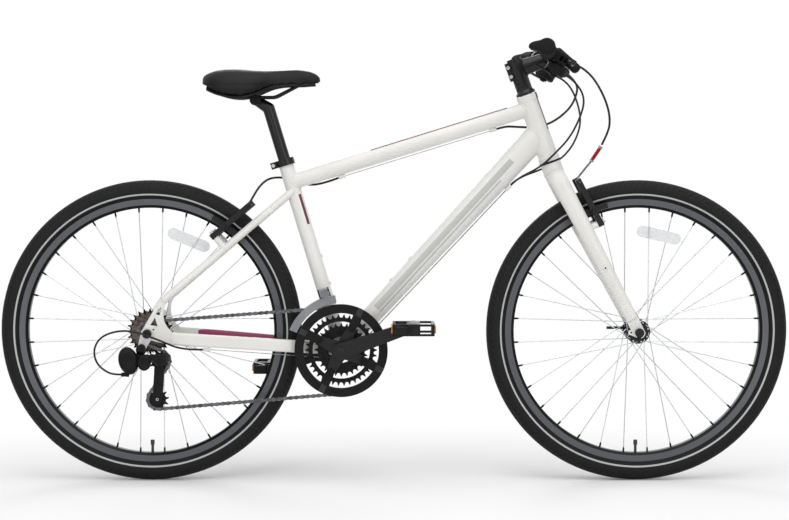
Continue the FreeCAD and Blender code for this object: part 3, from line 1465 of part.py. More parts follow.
def brake_arms(name, axle_at, pivot, up, ahead):
    """Two upright brake arms with their shoes, studs and nuts."""
    shoe_at = pivot + up * s.brake_pivot_drop
    radial = (shoe_at - axle_at).normalize()
    half_angle = s.shoe_length / 2 / SHOE_RADIUS
    outer, inner = SHOE_RADIUS + s.shoe_height / 2, SHOE_RADIUS - s.shoe_height / 2
    cosine, sine = math.cos(half_angle), math.sin(half_angle)
    outline = [(outer * cosine, -outer * sine), (outer * cosine, outer * sine, outer),
               (inner * cosine, inner * sine), (inner * cosine, -inner * sine, -inner)]
    for label, side in SIDES:
        across = SIDE * side
        root = sideways(pivot, side * s.post_spread)
        base = root - ahead * (s.arm_thickness / 2)
        toward = ahead if side > 0 else -ahead
        start = base if side > 0 else root + ahead * (s.arm_thickness / 2)
        stud = s.shoe_stud_radius + s.running_clearance
        body = plate([strap_outline(s.arm_length, s.arm_boss_radius, s.arm_width * 0.36)],
                     [(0, 0, s.post_radius + s.running_clearance)], s.arm_thickness,
                     facing(start, toward, up))
        wire_at = root + up * (s.arm_length - s.shoe_stud_radius)
        holes = [through(sideways(shoe_at, side * s.post_spread) - across * s.arm_width, across, stud,
                         2 * s.arm_width),
                 through(wire_at - across * s.arm_width, across, s.wire_diameter, 2 * s.arm_width)]
        inner_face = s.rim_width / 2 + s.shoe_gap
        pad_at = sideways(axle_at, side * inner_face)
        pad = plate([outline], [], s.shoe_thickness, facing(pad_at, across, radial))
        stud_from = sideways(shoe_at, side * (inner_face + s.shoe_thickness / 2))
        stud_length = s.post_spread + s.arm_width / 2 + s.bolt_head_height * 2 - s.rim_width / 2
        rod = cylinder(stud_from, across, s.shoe_stud_radius, stud_length - s.shoe_thickness / 2)
        washer_in = cylinder(sideways(shoe_at, side * (s.post_spread - s.arm_boss_radius - s.cap_height / 2)),
                             across, s.bolt_head_radius * 1.3, s.cap_height / 2)
        nut_at = sideways(shoe_at, side * (s.post_spread + s.arm_boss_radius))
        nut = cylinder(nut_at, across, s.bolt_head_radius * 1.2, s.bolt_head_height)
        deliver(f"{name}_{label}_brake_arm", cut(body, *holes), fuse(pad, rod, washer_in, nut))


def flat_face(outline, circles=()):
    """Face inside a closed outline with round holes, worked out in code."""
    edges = []
    for here, there in zip(outline, outline[1:] + outline[:1]):
        start, end = Vector(float(here[0]), float(here[1]), 0), Vector(float(there[0]), float(there[1]), 0)
        if len(there) == 3:
            edges.append(arc_between(start, end, float(there[2])).toShape())
        else:
            edges.append(Part.LineSegment(start, end).toShape())
    wires = [Part.Wire(Part.__sortEdges__(edges))]
    for x, y, radius in circles:
        wires.append(Part.Wire([Part.Circle(Vector(x, y, 0), Vector(0, 0, 1), float(radius)).toShape()]))
    return Part.makeFace(wires, "Part::FaceMakerBullseye")


def pitch_radius(teeth):
    """Radius of the circle through the chain's pins on a toothed wheel."""
    return float(s.chain_pitch) / 2 / math.sin(math.pi / teeth)


def gear_outline(teeth, phase):
    """Outline of a toothed wheel with one tooth gap at the phase angle."""
    outline = []
    radius, seat, half = pitch_radius(teeth), s.tooth_seat_radius, s.tooth_tip_width / 2
    step = 2 * math.pi / teeth
    for index in range(teeth):
        angle = phase + index * step
        out = Vector(math.cos(angle), math.sin(angle), 0)
        along = Vector(-out.y, out.x, 0)
        low = out * (radius - seat * math.cos(SEAT_ARC))
        first, last = low - along * (seat * math.sin(SEAT_ARC)), low + along * (seat * math.sin(SEAT_ARC))
        tip_angle = angle + step / 2
        tip_out = Vector(math.cos(tip_angle), math.sin(tip_angle), 0)
        tip_along = Vector(-tip_out.y, tip_out.x, 0)
        tip = tip_out * (radius + s.tooth_height)
        outline += [(first.x, first.y), (last.x, last.y, -seat),
                    tuple(tip - tip_along * half)[:2], tuple(tip + tip_along * half)[:2]]
    return outline


def drive_frame(centre, line):
    """Frame of a flat piece on the chain side: X forward, Y up, at a distance to the right."""
    return facing(sideways(centre, -line), -SIDE, FORWARD)


def gear(teeth, phase, bore, centre, line, thickness):
    """Toothed wheel with a round bore, centred on a line to the right of the bike's middle."""
    face = flat_face(gear_outline(teeth, phase), [(0, 0, bore)])
    solid = face.extrude(Vector(0, 0, float(thickness)))
    result = feature(solid)
    result.Placement = drive_frame(centre, line - thickness / 2)
    return result


GUIDE = REAR_AXLE + Vector(s.guide_forward, 0, -s.guide_fall)
CAGE_PIVOT = GUIDE + Vector(s.cage_pivot_forward, 0, s.cage_pivot_rise)


def chain_wheels(cage_angle):
    """The four wheels in the order of the chain: centre, teeth and way of turning."""
    turn = math.radians(cage_angle)
    tension = GUIDE + Vector(math.cos(turn), 0, -math.sin(turn)) * s.cage_length
    return [(REAR_AXLE, SPROCKET_TEETH[0], -1), (CRANK_AXIS, RING_TEETH[0], -1),
            (tension, PULLEY_TEETH, -1), (GUIDE, PULLEY_TEETH, 1)]


def chain_runs(wheels):
    """Straight runs of the chain between the wheels: start, direction angle and length."""
    runs = []
    for (centre, teeth, turn), (other, more_teeth, more_turn) in zip(wheels, wheels[1:] + wheels[:1]):
        line = other - centre
        radius, more_radius = pitch_radius(teeth), pitch_radius(more_teeth)
        angle = math.atan2(line.z, line.x)
        angle += math.asin((turn * radius - more_turn * more_radius) / line.Length)
        right = Vector(math.sin(angle), 0, -math.cos(angle))
        start, end = centre + right * (turn * radius), other + right * (more_turn * more_radius)
        runs.append((start, angle, (end - start).Length))
    return runs


def chain_sections(wheels):
    """The chain's way in link counts: each arc and the straight run after it."""
    runs = chain_runs(wheels)
    sections = []
    for index, (_, teeth, turn) in enumerate(wheels):
        before, after = runs[index - 1][1], runs[index][1]
        sweep = (after - before) * turn % (2 * math.pi)
        sections.append((sweep * teeth / (2 * math.pi), runs[index][2] / s.chain_pitch))
    return runs, sections


def chain_links(cage_angle):
    """Number of links that the chain needs at an angle of the derailleur cage."""
    _, sections = chain_sections(chain_wheels(cage_angle))
    return sum(arc + run for arc, run in sections)


def fitted_cage_angle():
    """Cage angle near the drawn one at which the chain closes with an even number of links."""
    low, high = float(angles.cage_angle - CAGE_SEARCH), float(angles.cage_angle + CAGE_SEARCH)
    target = 2 * round(chain_links(angles.cage_angle) / 2)
    rising = chain_links(high) > chain_links(low)
    for _ in range(60):
        middle = (low + high) / 2
        if (chain_links(middle) > target) == rising:
            high = middle
        else:
            low = middle
    return (low + high) / 2, target


CAGE_SEARCH = 22.0
CAGE_ANGLE, LINK_COUNT = fitted_cage_angle()
CHAIN_WHEELS = chain_wheels(CAGE_ANGLE)
TENSION = CHAIN_WHEELS[2][0]


def chain_pins():
    """Centre of each pin, and the angle of one pin on each wheel."""
    runs, sections = chain_sections(CHAIN_WHEELS)
    lines = [s.sprocket_line, s.ring_line, s.sprocket_line, s.sprocket_line]
    marks = []
    position = 0.0
    for index, (arc, run) in enumerate(sections):
        marks.append((position, position + arc, position + arc + run, index))
        position += arc + run
    pins, phases = [], {}
    for number in range(LINK_COUNT):
        start, middle, end, index = [mark for mark in marks if number < mark[2] - 1e-6][0]
        centre, teeth, turn = CHAIN_WHEELS[index]
        if number < middle:
            entry = runs[index - 1][1]
            angle = entry - turn * math.pi / 2 + turn * (number - start) * 2 * math.pi / teeth
            phases.setdefault(index, angle)
            offset = Vector(math.cos(angle), 0, math.sin(angle)) * pitch_radius(teeth)
            pins.append(sideways(centre + offset, -lines[index]))
            continue
        first, angle, _ = runs[index]
        along = Vector(math.cos(angle), 0, math.sin(angle))
        share = ((number - middle) / (end - middle) - LEVEL_SHARE) / (1 - 2 * LEVEL_SHARE)
        share = min(max(share, 0), 1)
        point = first + along * ((number - middle) * s.chain_pitch)
        following = lines[(index + 1) % len(lines)]
        pins.append(sideways(point, -(lines[index] + (following - lines[index]) * share)))
    return pins, phases


LEVEL_SHARE = 0.15
PINS, PHASES = chain_pins()


def link_outline():
    """Waisted outline of a chain plate round its two pin holes."""
    end, waist, half = s.plate_half_height, s.plate_waist, s.chain_pitch / 2
    corner = half * WAIST_SHARE
    dip = end - waist
    hollow = (corner ** 2 + dip ** 2) / 2 / dip
    return [
        (-half, end), (-half - end, 0, end), (-half, -end, end), (-corner, -end),
        (corner, -end, -hollow), (half, -end), (half + end, 0, end), (half, end, end),
        (corner, end), (-corner, end, -hollow),
    ]


WAIST_SHARE = 0.75


def link_shape(inner):
    """One chain link about its middle: plates with rollers, or plates with pins."""
    half = s.chain_pitch / 2
    first = s.roller_half_width if inner else s.roller_half_width + s.plate_thickness + s.plate_gap
    bore = s.pin_radius + s.plate_gap * 0.6
    holes = [(-half, 0, bore), (half, 0, bore)] if inner else []
    face = flat_face(link_outline(), holes)
    pieces = []
    for side in (1, -1):
        solid = face.extrude(Vector(0, 0, float(s.plate_thickness)))
        height = first if side > 0 else -first - s.plate_thickness
        solid.translate(Vector(0, 0, float(height)))
        pieces.append(solid)
    for end in (-half, half):
        if inner:
            low = Vector(end, 0, -first)
            roller = bar_shape(low, Vector(0, 0, 1), s.roller_radius, 2 * first)
            pieces.append(roller.cut(bar_shape(low, Vector(0, 0, 1), bore, 2 * first)))
        else:
            reach = first + s.plate_thickness + s.pin_overhang
            pieces.append(bar_shape(Vector(end, 0, -reach), Vector(0, 0, 1), s.pin_radius, 2 * reach))
    return pieces[0].multiFuse(pieces[1:])


def chain():
    """Roller chain of separate inner and outer links along its whole way."""
    shapes = [link_shape(True), link_shape(False)]
    links = []
    for index, pin in enumerate(PINS):
        following = PINS[(index + 1) % len(PINS)]
        along = (following - pin).normalize()
        across = (SIDE - along * SIDE.dot(along)).normalize()
        link = shapes[index % 2].copy()
        link.Placement = facing((pin + following) * 0.5, across, along)
        links.append(link)
    deliver("chain", feature(Part.makeCompound(links)))


def cassette():
    """Seven sprockets with spacers on their carrier."""
    pieces = []
    for index, teeth in enumerate(SPROCKET_TEETH):
        line = s.sprocket_line - index * s.sprocket_spacing
        phase = PHASES[0] if index == 0 else math.pi / teeth
        pieces.append(gear(teeth, phase, s.cassette_body_radius - s.cap_height / 2, REAR_AXLE, line,
                           s.tooth_thickness))
    inner = s.sprocket_line - (len(SPROCKET_TEETH) - 1) * s.sprocket_spacing
    length = s.sprocket_line - inner + s.tooth_thickness
    low = sideways(REAR_AXLE, -s.sprocket_line - s.tooth_thickness / 2)
    carrier = cylinder(low, SIDE, s.cassette_body_radius, length)
    bore = through(low, SIDE, s.hub_barrel_diameter / 2 + s.fit_clearance, length)
    deliver("cassette", cut(fuse(*pieces, carrier), bore))


def arm_direction(turn):
    """Direction in the bike's plane at an angle from the right crank arm."""
    angle = math.radians(angles.crank_angle + turn)
    return Vector(math.cos(angle), 0, math.sin(angle))


SPIDER_TURNS = (45, 135, -135, -45)


def ring_tabs(inner, line, thickness):
    """Bolt tabs from a ring's rim in to the spider's bolts."""
    tabs = []
    for turn in SPIDER_TURNS:
        placement = facing(sideways(CRANK_AXIS, -(line - thickness / 2)), -SIDE, arm_direction(turn))
        outline = [(s.spider_reach, s.spider_end_radius), (s.spider_reach - s.spider_end_radius, 0,
                    s.spider_end_radius), (s.spider_reach, -s.spider_end_radius, s.spider_end_radius),
                   (inner, -s.guard_tab_width / 2), (inner, s.guard_tab_width / 2)]
        tabs.append(plate([outline], [], thickness, placement))
    return tabs


def chainrings():
    """Three toothed rings with their bolts, sleeves and standoffs."""
    rings = []
    thick = s.tooth_thickness
    bolt, standoff = s.spider_end_radius * 0.55, s.spider_end_radius * 0.5
    low_reach = pitch_radius(RING_TEETH[2]) - s.tooth_seat_radius - s.ring_rim_width - bolt
    for index, teeth in enumerate(RING_TEETH):
        line = s.ring_line - index * s.ring_spacing
        root = pitch_radius(teeth) - s.tooth_seat_radius
        phase = PHASES[1] if index == 0 else math.pi / teeth
        if index < 2:
            ring = gear(teeth, phase, root - s.ring_rim_width, CRANK_AXIS, line, thick)
            ring = fuse(ring, *ring_tabs(root - s.ring_rim_width / 2, line, thick))
            radius, reach = bolt, s.spider_reach
        else:
            ring = gear(teeth, phase, low_reach - bolt - standoff, CRANK_AXIS, line, thick)
            radius, reach = standoff, low_reach
        holes = [bar_shape(sideways(CRANK_AXIS + arm_direction(turn) * reach, -line - thick), SIDE,
                           radius + s.running_clearance, 2 * thick) for turn in SPIDER_TURNS]
        rings.append(cut(ring, feature(Part.makeCompound(holes))))
    for turn in SPIDER_TURNS:
        at = CRANK_AXIS + arm_direction(turn) * s.spider_reach
        first = s.ring_line + thick / 2 + s.guard_gap + s.guard_thickness
        last = s.ring_line - s.ring_spacing - thick / 2
        head = s.bolt_head_height / 4
        bolt_body = fuse(cylinder(sideways(at, -first), SIDE, bolt, first - last),
                         cylinder(sideways(at, -first - head), SIDE, bolt * 1.3, head),
                         cylinder(sideways(at, -last), SIDE, bolt * 1.3, head * 2),
                         cylinder(sideways(at, -first + s.guard_thickness), SIDE, bolt * 1.5, s.guard_gap))
        rings.append(bolt_body)
        low = CRANK_AXIS + arm_direction(turn) * low_reach
        granny = s.ring_line - 2 * s.ring_spacing
        outer = s.ring_line - s.ring_spacing / 2 - spider_half()
        rings.append(fuse(cylinder(sideways(low, -outer), SIDE, standoff, outer - granny + thick / 2),
                          cylinder(sideways(low, -outer), SIDE, standoff * 1.6, outer - granny - thick / 2),
                          cylinder(sideways(low, -granny + thick / 2), SIDE, standoff * 1.6, head * 2)))
    deliver("chainrings", *rings)


def spider_half():
    """Half the thickness of the spider between the outer and middle rings."""
    return s.ring_spacing / 2 - s.tooth_thickness / 2


def chain_guard():
    """Ring outside the big chainring that keeps clothes off the chain."""
    line = s.ring_line + s.tooth_thickness / 2 + s.guard_gap + s.guard_thickness / 2
    start = sideways(CRANK_AXIS, -(line + s.guard_thickness / 2))
    rim_piece = cut(cylinder(start, SIDE, s.guard_radius, s.guard_thickness),
                    cylinder(start, SIDE, s.guard_inner_radius, s.guard_thickness))
    tabs = ring_tabs(s.guard_inner_radius + s.ring_rim_width / 2, line, s.guard_thickness)
    bolt = s.spider_end_radius * 0.55 + s.running_clearance
    holes = [bar_shape(sideways(CRANK_AXIS + arm_direction(turn) * s.spider_reach, -line - s.guard_thickness),
                       SIDE, bolt, 2 * s.guard_thickness) for turn in SPIDER_TURNS]
    deliver("chain_guard", cut(fuse(rim_piece, *tabs), feature(Part.makeCompound(holes))))


def crank_arm(side):
    """Crank arm with its boss and the pedal axle on its outer face."""
    direction = arm_direction(0) if side < 0 else arm_direction(180)
    inner = s.crank_plane
    z_axis = SIDE * side
    placement = facing(sideways(CRANK_AXIS, side * inner), z_axis, direction)
    body = plate([strap_outline(s.crank_length, s.crank_hub_radius, s.crank_end_radius)], [],
                 s.crank_thickness, placement)
    end = CRANK_AXIS + direction * s.crank_length
    outer = inner + s.crank_thickness
    rod = cylinder(sideways(end, side * outer), z_axis, s.pedal_axle_radius,
                   s.pedal_width - s.pedal_wall + s.pedal_gap)
    collar = cylinder(sideways(end, side * outer), z_axis, s.pedal_axle_radius * 1.5, s.pedal_gap / 2)
    return body, rod, collar


def cranks():
    """Right arm with its spider, and left arm with the spindle through the frame."""
    spindle = s.cartridge_bore / 2 - s.running_clearance
    body, rod, collar = crank_arm(-1)
    inner = s.shell_width / 2 + s.crown_gap * 2
    boss = cylinder(sideways(CRANK_AXIS, -s.crank_plane - s.fit_clearance), SIDE, s.crank_hub_radius,
                    s.crank_plane - inner)
    middle = s.ring_line - s.ring_spacing / 2
    arms = []
    for turn in SPIDER_TURNS:
        placement = facing(sideways(CRANK_AXIS, -(middle - spider_half())), -SIDE, arm_direction(turn))
        arms.append(plate([strap_outline(s.spider_reach, s.crank_hub_radius, s.spider_end_radius)],
                          [(s.spider_reach, 0, s.spider_end_radius * 0.55 + s.running_clearance)],
                          2 * spider_half(), placement))
    hole = through(sideways(CRANK_AXIS, -s.crank_plane - s.crank_thickness), SIDE,
                   spindle + s.running_clearance, s.crank_plane)
    cap = cylinder(sideways(CRANK_AXIS, -s.crank_plane - s.crank_thickness), -SIDE, s.crank_end_radius * 0.8,
                   s.cap_height / 2)
    deliver("right_crank", fuse(cut(fuse(body, boss, *arms), hole), rod, collar, cap))
    body, rod, collar = crank_arm(1)
    boss = cylinder(sideways(CRANK_AXIS, inner), SIDE, s.crank_hub_radius, s.crank_plane - inner)
    shaft = cylinder(sideways(CRANK_AXIS, -s.crank_plane - s.crank_thickness), SIDE, spindle,
                     2 * s.crank_plane + s.crank_thickness)
    deliver("left_crank", fuse(body, boss, shaft, rod, collar))


def pedals():
    """Platform pedals with open cages, a barrel on the axle and reflectors front and back."""
    for name, side in SIDES:
        direction = arm_direction(0) if side < 0 else arm_direction(180)
        centre = CRANK_AXIS + direction * s.crank_length
        start = s.crank_plane + s.crank_thickness + s.pedal_gap
        middle = sideways(centre, side * (start + s.pedal_width / 2))
        half, height = s.pedal_length / 2, s.pedal_height
        corner, deep = s.pedal_corner, s.pedal_width / 2
        outline = [(half - corner, deep, corner), (corner - half, deep), (-half, deep - corner, corner),
                   (-half, corner - deep), (corner - half, -deep, corner), (half - corner, -deep),
                   (half, corner - deep, corner), (half, deep - corner)]
        windows = []
        for way in (-1, 1):
            near, far = s.pedal_barrel_radius + s.pedal_wall / 2, half - s.pedal_wall
            low, high = s.pedal_wall - deep, deep - s.pedal_wall
            windows.append([(way * near, low), (way * far, low), (way * far, high), (way * near, high)])
        body = plate([outline] + windows, [], height, facing(middle - UP * (height / 2), UP, FORWARD))
        barrel = cylinder(sideways(centre, side * start), SIDE * side, s.pedal_barrel_radius, s.pedal_width)
        bore_length = s.pedal_width - s.pedal_wall + s.pedal_gap * 2
        bore = cylinder(sideways(centre, side * (start - s.pedal_gap / 2)), SIDE * side,
                        s.pedal_axle_radius + s.running_clearance, bore_length)
        lamps = []
        for way in (-1, 1):
            lamps.append(block(middle + FORWARD * (way * (half + s.pedal_reflector_thickness / 2)),
                               (s.pedal_reflector_thickness, s.pedal_width * 0.62, s.pedal_height * 0.6)))
        deliver(f"{name}_pedal", cut(fuse(body, barrel), bore), *lamps)


# Rear derailleur: a link swings between the hanger body and the knuckle of the cage
KNUCKLE = sideways(CAGE_PIVOT, -s.sprocket_line - s.knuckle_outside)
LINK_MIDDLE = Vector(0.97, 0, -0.24).normalize()
LINK_TILT = Vector(-0.124, 0.857, -0.5)
LINK_INWARD = (LINK_TILT - LINK_MIDDLE * LINK_TILT.dot(LINK_MIDDLE)).normalize()
LINK_HINGE = LINK_MIDDLE.cross(LINK_INWARD)
HALF_SWING = math.radians(angles.shift_swing_angle / 2)
LINK_ALONG = LINK_MIDDLE * math.cos(HALF_SWING) - LINK_INWARD * math.sin(HALF_SWING)
BODY_PIVOT = KNUCKLE - LINK_ALONG * s.shift_link_length


def derailleur_clevis(pivot, way):
    """Fork with a pin that holds one end of the swinging link; the way is where it is closed."""
    frame = facing(pivot, LINK_HINGE, LINK_ALONG * way)
    height = s.shift_link_thickness + 2 * s.fit_clearance + 2 * s.shift_cheek
    back = s.shift_link_radius + s.fit_clearance * 2 + s.shift_strut
    box = block(Vector((back - s.shift_link_radius) / 2, 0, 0),
                (back + s.shift_link_radius, 2 * s.shift_link_radius + s.fit_clearance, height), frame)
    reach = s.shift_link_length
    free = block(Vector(-reach / 2 + s.shift_link_radius + s.fit_clearance * 2, 0, 0),
                 (reach, s.shift_link_length, s.shift_link_thickness + 2 * s.fit_clearance), frame)
    pin = cylinder(pivot - LINK_HINGE * (height / 2), LINK_HINGE, s.shift_pin_radius, height)
    return box, free, pin


def rear_derailleur():
    """Hanger body, swinging link, knuckle, cage and the two toothed pulleys."""
    outer_face = s.rear_hub_width / 2 + s.rear_dropout_thickness + s.hanger_thickness + s.fit_clearance / 2
    box, free, pin = derailleur_clevis(BODY_PIVOT, -1)
    head_length = s.shift_link_thickness
    head = cylinder(sideways(HANGER, -outer_face), -SIDE, s.hanger_radius, head_length)
    bolt = cylinder(sideways(HANGER, -outer_face), SIDE, s.shift_pin_radius * 2 - s.running_clearance,
                    s.hanger_thickness + s.rear_dropout_thickness / 2)
    drop = HANGER.z - BODY_PIVOT.z
    neck_middle = (HANGER + BODY_PIVOT) * 0.5 + UP * (s.shift_cheek / 2)
    neck = block(sideways(neck_middle, -outer_face - head_length / 2),
                 (2 * s.hanger_radius, head_length, drop - s.shift_cheek))
    away = block(sideways(HANGER, -outer_face + s.overrun) + UP * (s.hanger_radius * 0.2),
                 (2 * s.overrun + s.hanger_radius, 2 * s.overrun, drop + s.hanger_radius))
    body = cut(fuse(cut(box, away), head, neck), free)
    deliver("rear_derailleur_body", fuse(body, pin, bolt))
    placement = facing(BODY_PIVOT - LINK_HINGE * (s.shift_link_thickness / 2), LINK_HINGE, LINK_ALONG)
    bore = s.shift_pin_radius + s.running_clearance
    link = plate([strap_outline(s.shift_link_length, s.shift_link_radius, s.shift_link_radius * 0.98)],
                 [(0, 0, bore), (s.shift_link_length, 0, bore)], s.shift_link_thickness, placement)
    deliver("derailleur_link", link)
    box, free, pin = derailleur_clevis(KNUCKLE, 1)
    cage_outer = s.sprocket_line + s.cage_half_width + s.cage_plate_thickness
    start = sideways(CAGE_PIVOT, -cage_outer - s.fit_clearance)
    length = s.cage_stub_length + s.cage_plate_thickness
    barrel = cylinder(start, -SIDE, s.knuckle_radius, length)
    back = s.shift_link_radius + s.fit_clearance * 2
    far = s.sprocket_line + s.knuckle_outside + s.shift_link_radius
    wall = block(sideways(CAGE_PIVOT, -(cage_outer + far) / 2) + FORWARD * (back + s.shift_strut / 2),
                 (s.shift_strut, far - cage_outer - s.fit_clearance * 4, 2 * s.shift_link_radius))
    join = block(sideways(CAGE_PIVOT, -cage_outer - length / 2 - s.fit_clearance) + FORWARD * (back / 2),
                 (back + s.shift_strut, length - s.fit_clearance * 2, s.knuckle_radius * 1.2))
    stub_hole = cylinder(start + SIDE * s.overrun, -SIDE, s.cage_stub_radius + s.running_clearance,
                         s.overrun + s.cage_stub_length + s.fit_clearance)
    knuckle = cut(fuse(cut(fuse(box, wall), free), barrel, join), stub_hole)
    deliver("derailleur_knuckle", fuse(knuckle, pin))
    derailleur_cage()
    pulley_bore = s.pulley_bolt_radius + s.running_clearance
    for label, centre, phase in (("guide_pulley", GUIDE, PHASES[3]), ("tension_pulley", TENSION, PHASES[2])):
        width = 2 * (s.cage_half_width - s.fit_clearance)
        wheel_piece = gear(PULLEY_TEETH, phase, pulley_bore, centre, s.sprocket_line, s.tooth_thickness)
        side_at = sideways(centre, -s.sprocket_line - width / 2)
        hub_piece = cut(cylinder(side_at, SIDE, s.pulley_hub_radius, width),
                        cylinder(side_at, SIDE, pulley_bore, width))
        deliver(label, fuse(wheel_piece, hub_piece))


def derailleur_cage():
    """Two plates that carry the pulleys, their bolts, and the stub in the knuckle."""
    along = (TENSION - GUIDE).normalize()
    pieces = []
    for edge in (s.sprocket_line + s.cage_half_width, s.sprocket_line - s.cage_half_width
                 - s.cage_plate_thickness):
        placement = facing(sideways(GUIDE, -edge), -SIDE, along)
        pieces.append(plate([strap_outline(s.cage_length, s.cage_end_radius, s.cage_end_radius * 0.98)], [],
                            s.cage_plate_thickness, placement))
    outer = s.sprocket_line + s.cage_half_width
    disc = cylinder(sideways(CAGE_PIVOT, -outer), -SIDE, s.cage_end_radius * 0.8, s.cage_plate_thickness)
    stub = cylinder(sideways(CAGE_PIVOT, -outer - s.cage_plate_thickness / 2), -SIDE, s.cage_stub_radius,
                    s.cage_stub_length + s.cage_plate_thickness / 2)
    bolts = []
    width = 2 * (s.cage_half_width + s.cage_plate_thickness)
    for centre in (GUIDE, TENSION):
        low = sideways(centre, -s.sprocket_line - width / 2)
        bolts.append(cylinder(low, SIDE, s.pulley_bolt_radius, width))
        bolts.append(cylinder(low + SIDE * width, SIDE, s.pulley_bolt_radius * 1.6, s.cage_plate_thickness))
    deliver("derailleur_cage", fuse(*pieces, disc, stub, *bolts))


# Front derailleur: a link swings the cage in over the smaller rings
MECH_AHEAD = SIDE.cross(SEAT_UP)
MECH_LINE = s.seat_tube_diameter / 2 + s.band_thickness + s.mech_barrel_radius * 1.7
MECH_ROOT = sideways(CRANK_AXIS + SEAT_UP * s.band_above_axis, -MECH_LINE)
MECH_REST = math.radians(angles.mech_rest_angle)
MECH_UP = SEAT_UP * math.cos(MECH_REST) - SIDE * math.sin(MECH_REST)
MECH_TOP = MECH_ROOT + MECH_UP * s.mech_link_length


def sector_outline(inner, outer, first_angle, last_angle):
    """Outline of a ring sector about the crank axis."""
    points = []
    corners = ((outer, first_angle), (outer, last_angle), (inner, last_angle), (inner, first_angle))
    for radius, angle in corners:
        turn = math.radians(angle)
        points.append((radius * math.cos(turn), radius * math.sin(turn)))
    points[1] += (outer,)
    points[3] += (-inner,)
    return points


def mech_barrel(centre):
    """Bored barrel that a pin of the front derailleur's link turns in."""
    start = centre - MECH_AHEAD * (s.mech_barrel_length / 2)
    return (cylinder(start, MECH_AHEAD, s.mech_barrel_radius, s.mech_barrel_length),
            through(start, MECH_AHEAD, s.mech_pin_radius + s.running_clearance, s.mech_barrel_length))


def front_derailleur():
    """Band with its body, swinging link, and the cage round the chain."""
    radius = s.seat_tube_diameter / 2
    low = CRANK_AXIS + SEAT_UP * (s.band_above_axis - s.band_height / 2)
    ring = cylinder(low, SEAT_UP, radius + s.band_thickness, s.band_height)
    barrel, bore = mech_barrel(MECH_ROOT)
    frame = facing(CRANK_AXIS + SEAT_UP * s.band_above_axis, SEAT_UP, MECH_AHEAD)
    arm_width = s.mech_barrel_length - s.fit_clearance
    arm = block(Vector(0, -(radius + MECH_LINE) / 2, 0),
                (arm_width, MECH_LINE - radius, s.mech_barrel_radius * 1.2), frame)
    inside = through(low, SEAT_UP, radius + s.running_clearance, s.band_height)
    deliver("front_derailleur_body", cut(fuse(ring, barrel, arm), inside, bore))
    plates = []
    gap = s.mech_barrel_length / 2 + s.fit_clearance
    strap = strap_outline(s.mech_link_length, s.mech_barrel_radius, s.mech_barrel_radius * 0.98)
    for start in (gap, -gap - s.mech_link_plate):
        plates.append(plate([strap], [], s.mech_link_plate,
                            facing(MECH_ROOT + MECH_AHEAD * start, MECH_AHEAD, MECH_UP)))
    for centre in (MECH_ROOT, MECH_TOP):
        plates.append(cylinder(centre - MECH_AHEAD * (gap + s.mech_link_plate / 2), MECH_AHEAD,
                               s.mech_pin_radius, 2 * gap + s.mech_link_plate))
    deliver("front_derailleur_link", fuse(*plates))
    front_cage()


def front_cage():
    """Cage plates with their bridges, and the bracket up to the link."""
    first, last = angles.mech_front_angle, angles.mech_back_angle
    inner, outer, half = s.mech_inner_radius, s.mech_outer_radius, s.mech_half_width
    pieces = []
    for edge in (s.ring_line + half, s.ring_line - half - s.mech_plate):
        pieces.append(plate([sector_outline(inner, outer, first, last)], [], s.mech_plate,
                            drive_frame(CRANK_AXIS, edge)))
    tail = (last - first) / 10
    bridges = ((outer - s.mech_plate, outer, first, first + 2 * tail), (inner, outer, last - tail, last))
    for low, high, start, end in bridges:
        pieces.append(plate([sector_outline(low, high, start, end)], [], 2 * (half + s.mech_plate),
                            drive_frame(CRANK_AXIS, s.ring_line - half - s.mech_plate)))
    barrel, bore = mech_barrel(MECH_TOP)
    inner_face = s.ring_line - half - s.mech_plate
    height = s.band_above_axis + s.mech_link_length * math.cos(MECH_REST)
    foot = outer - s.mech_plate * 4
    frame = facing(CRANK_AXIS + SEAT_UP * height, SEAT_UP, MECH_AHEAD)
    width = s.mech_barrel_length - s.fit_clearance
    drop = height - foot
    bracket = block(Vector(0, -inner_face + s.mech_plate / 2, -drop / 2),
                    (width, s.mech_plate * 2, drop), frame)
    shelf = block(Vector(0, (MECH_TOP.y - inner_face) / 2, 0),
                  (width, inner_face + MECH_TOP.y, s.mech_barrel_radius), frame)
    deliver("front_derailleur_cage", cut(fuse(*pieces, bracket, shelf, barrel), bore))


# Seat
POST_TOP = SEAT_TOP + SEAT_UP * s.seatpost_show
CRADLE = POST_TOP + UP * s.head_rise - FORWARD * s.head_setback
EAR_HALF = s.cradle_radius - s.fit_clearance * 2


def seatpost():
    """Post in the seat tube with a set-back head and the ear of the saddle clamp."""
    start = SEAT_TOP - SEAT_UP * s.seatpost_insert
    post = cylinder(start, SEAT_UP, s.seatpost_diameter / 2, s.seatpost_insert + s.seatpost_show)
    elbow = doc.addObject("Part::Sphere", "elbow")
    bind(elbow, Radius=s.seatpost_diameter / 2)
    elbow.Placement = Placement(POST_TOP, Rotation())
    line = CRADLE - POST_TOP
    neck = cone(POST_TOP, Vector(line).normalize(), s.seatpost_diameter / 2, EAR_HALF * 0.95, line.Length)
    ear = cylinder(sideways(CRADLE, -EAR_HALF), SIDE, s.cradle_radius, 2 * EAR_HALF)
    bore = through(sideways(CRADLE, -EAR_HALF), SIDE, s.bolt_head_radius + s.running_clearance, 2 * EAR_HALF)
    room = [cylinder(sideways(CRADLE, side * (EAR_HALF + s.running_clearance)), SIDE * side,
                     s.cradle_radius + s.fit_clearance, s.cradle_width) for _, side in SIDES]
    deliver("seatpost", cut(fuse(post, elbow, neck, ear), bore, *room))


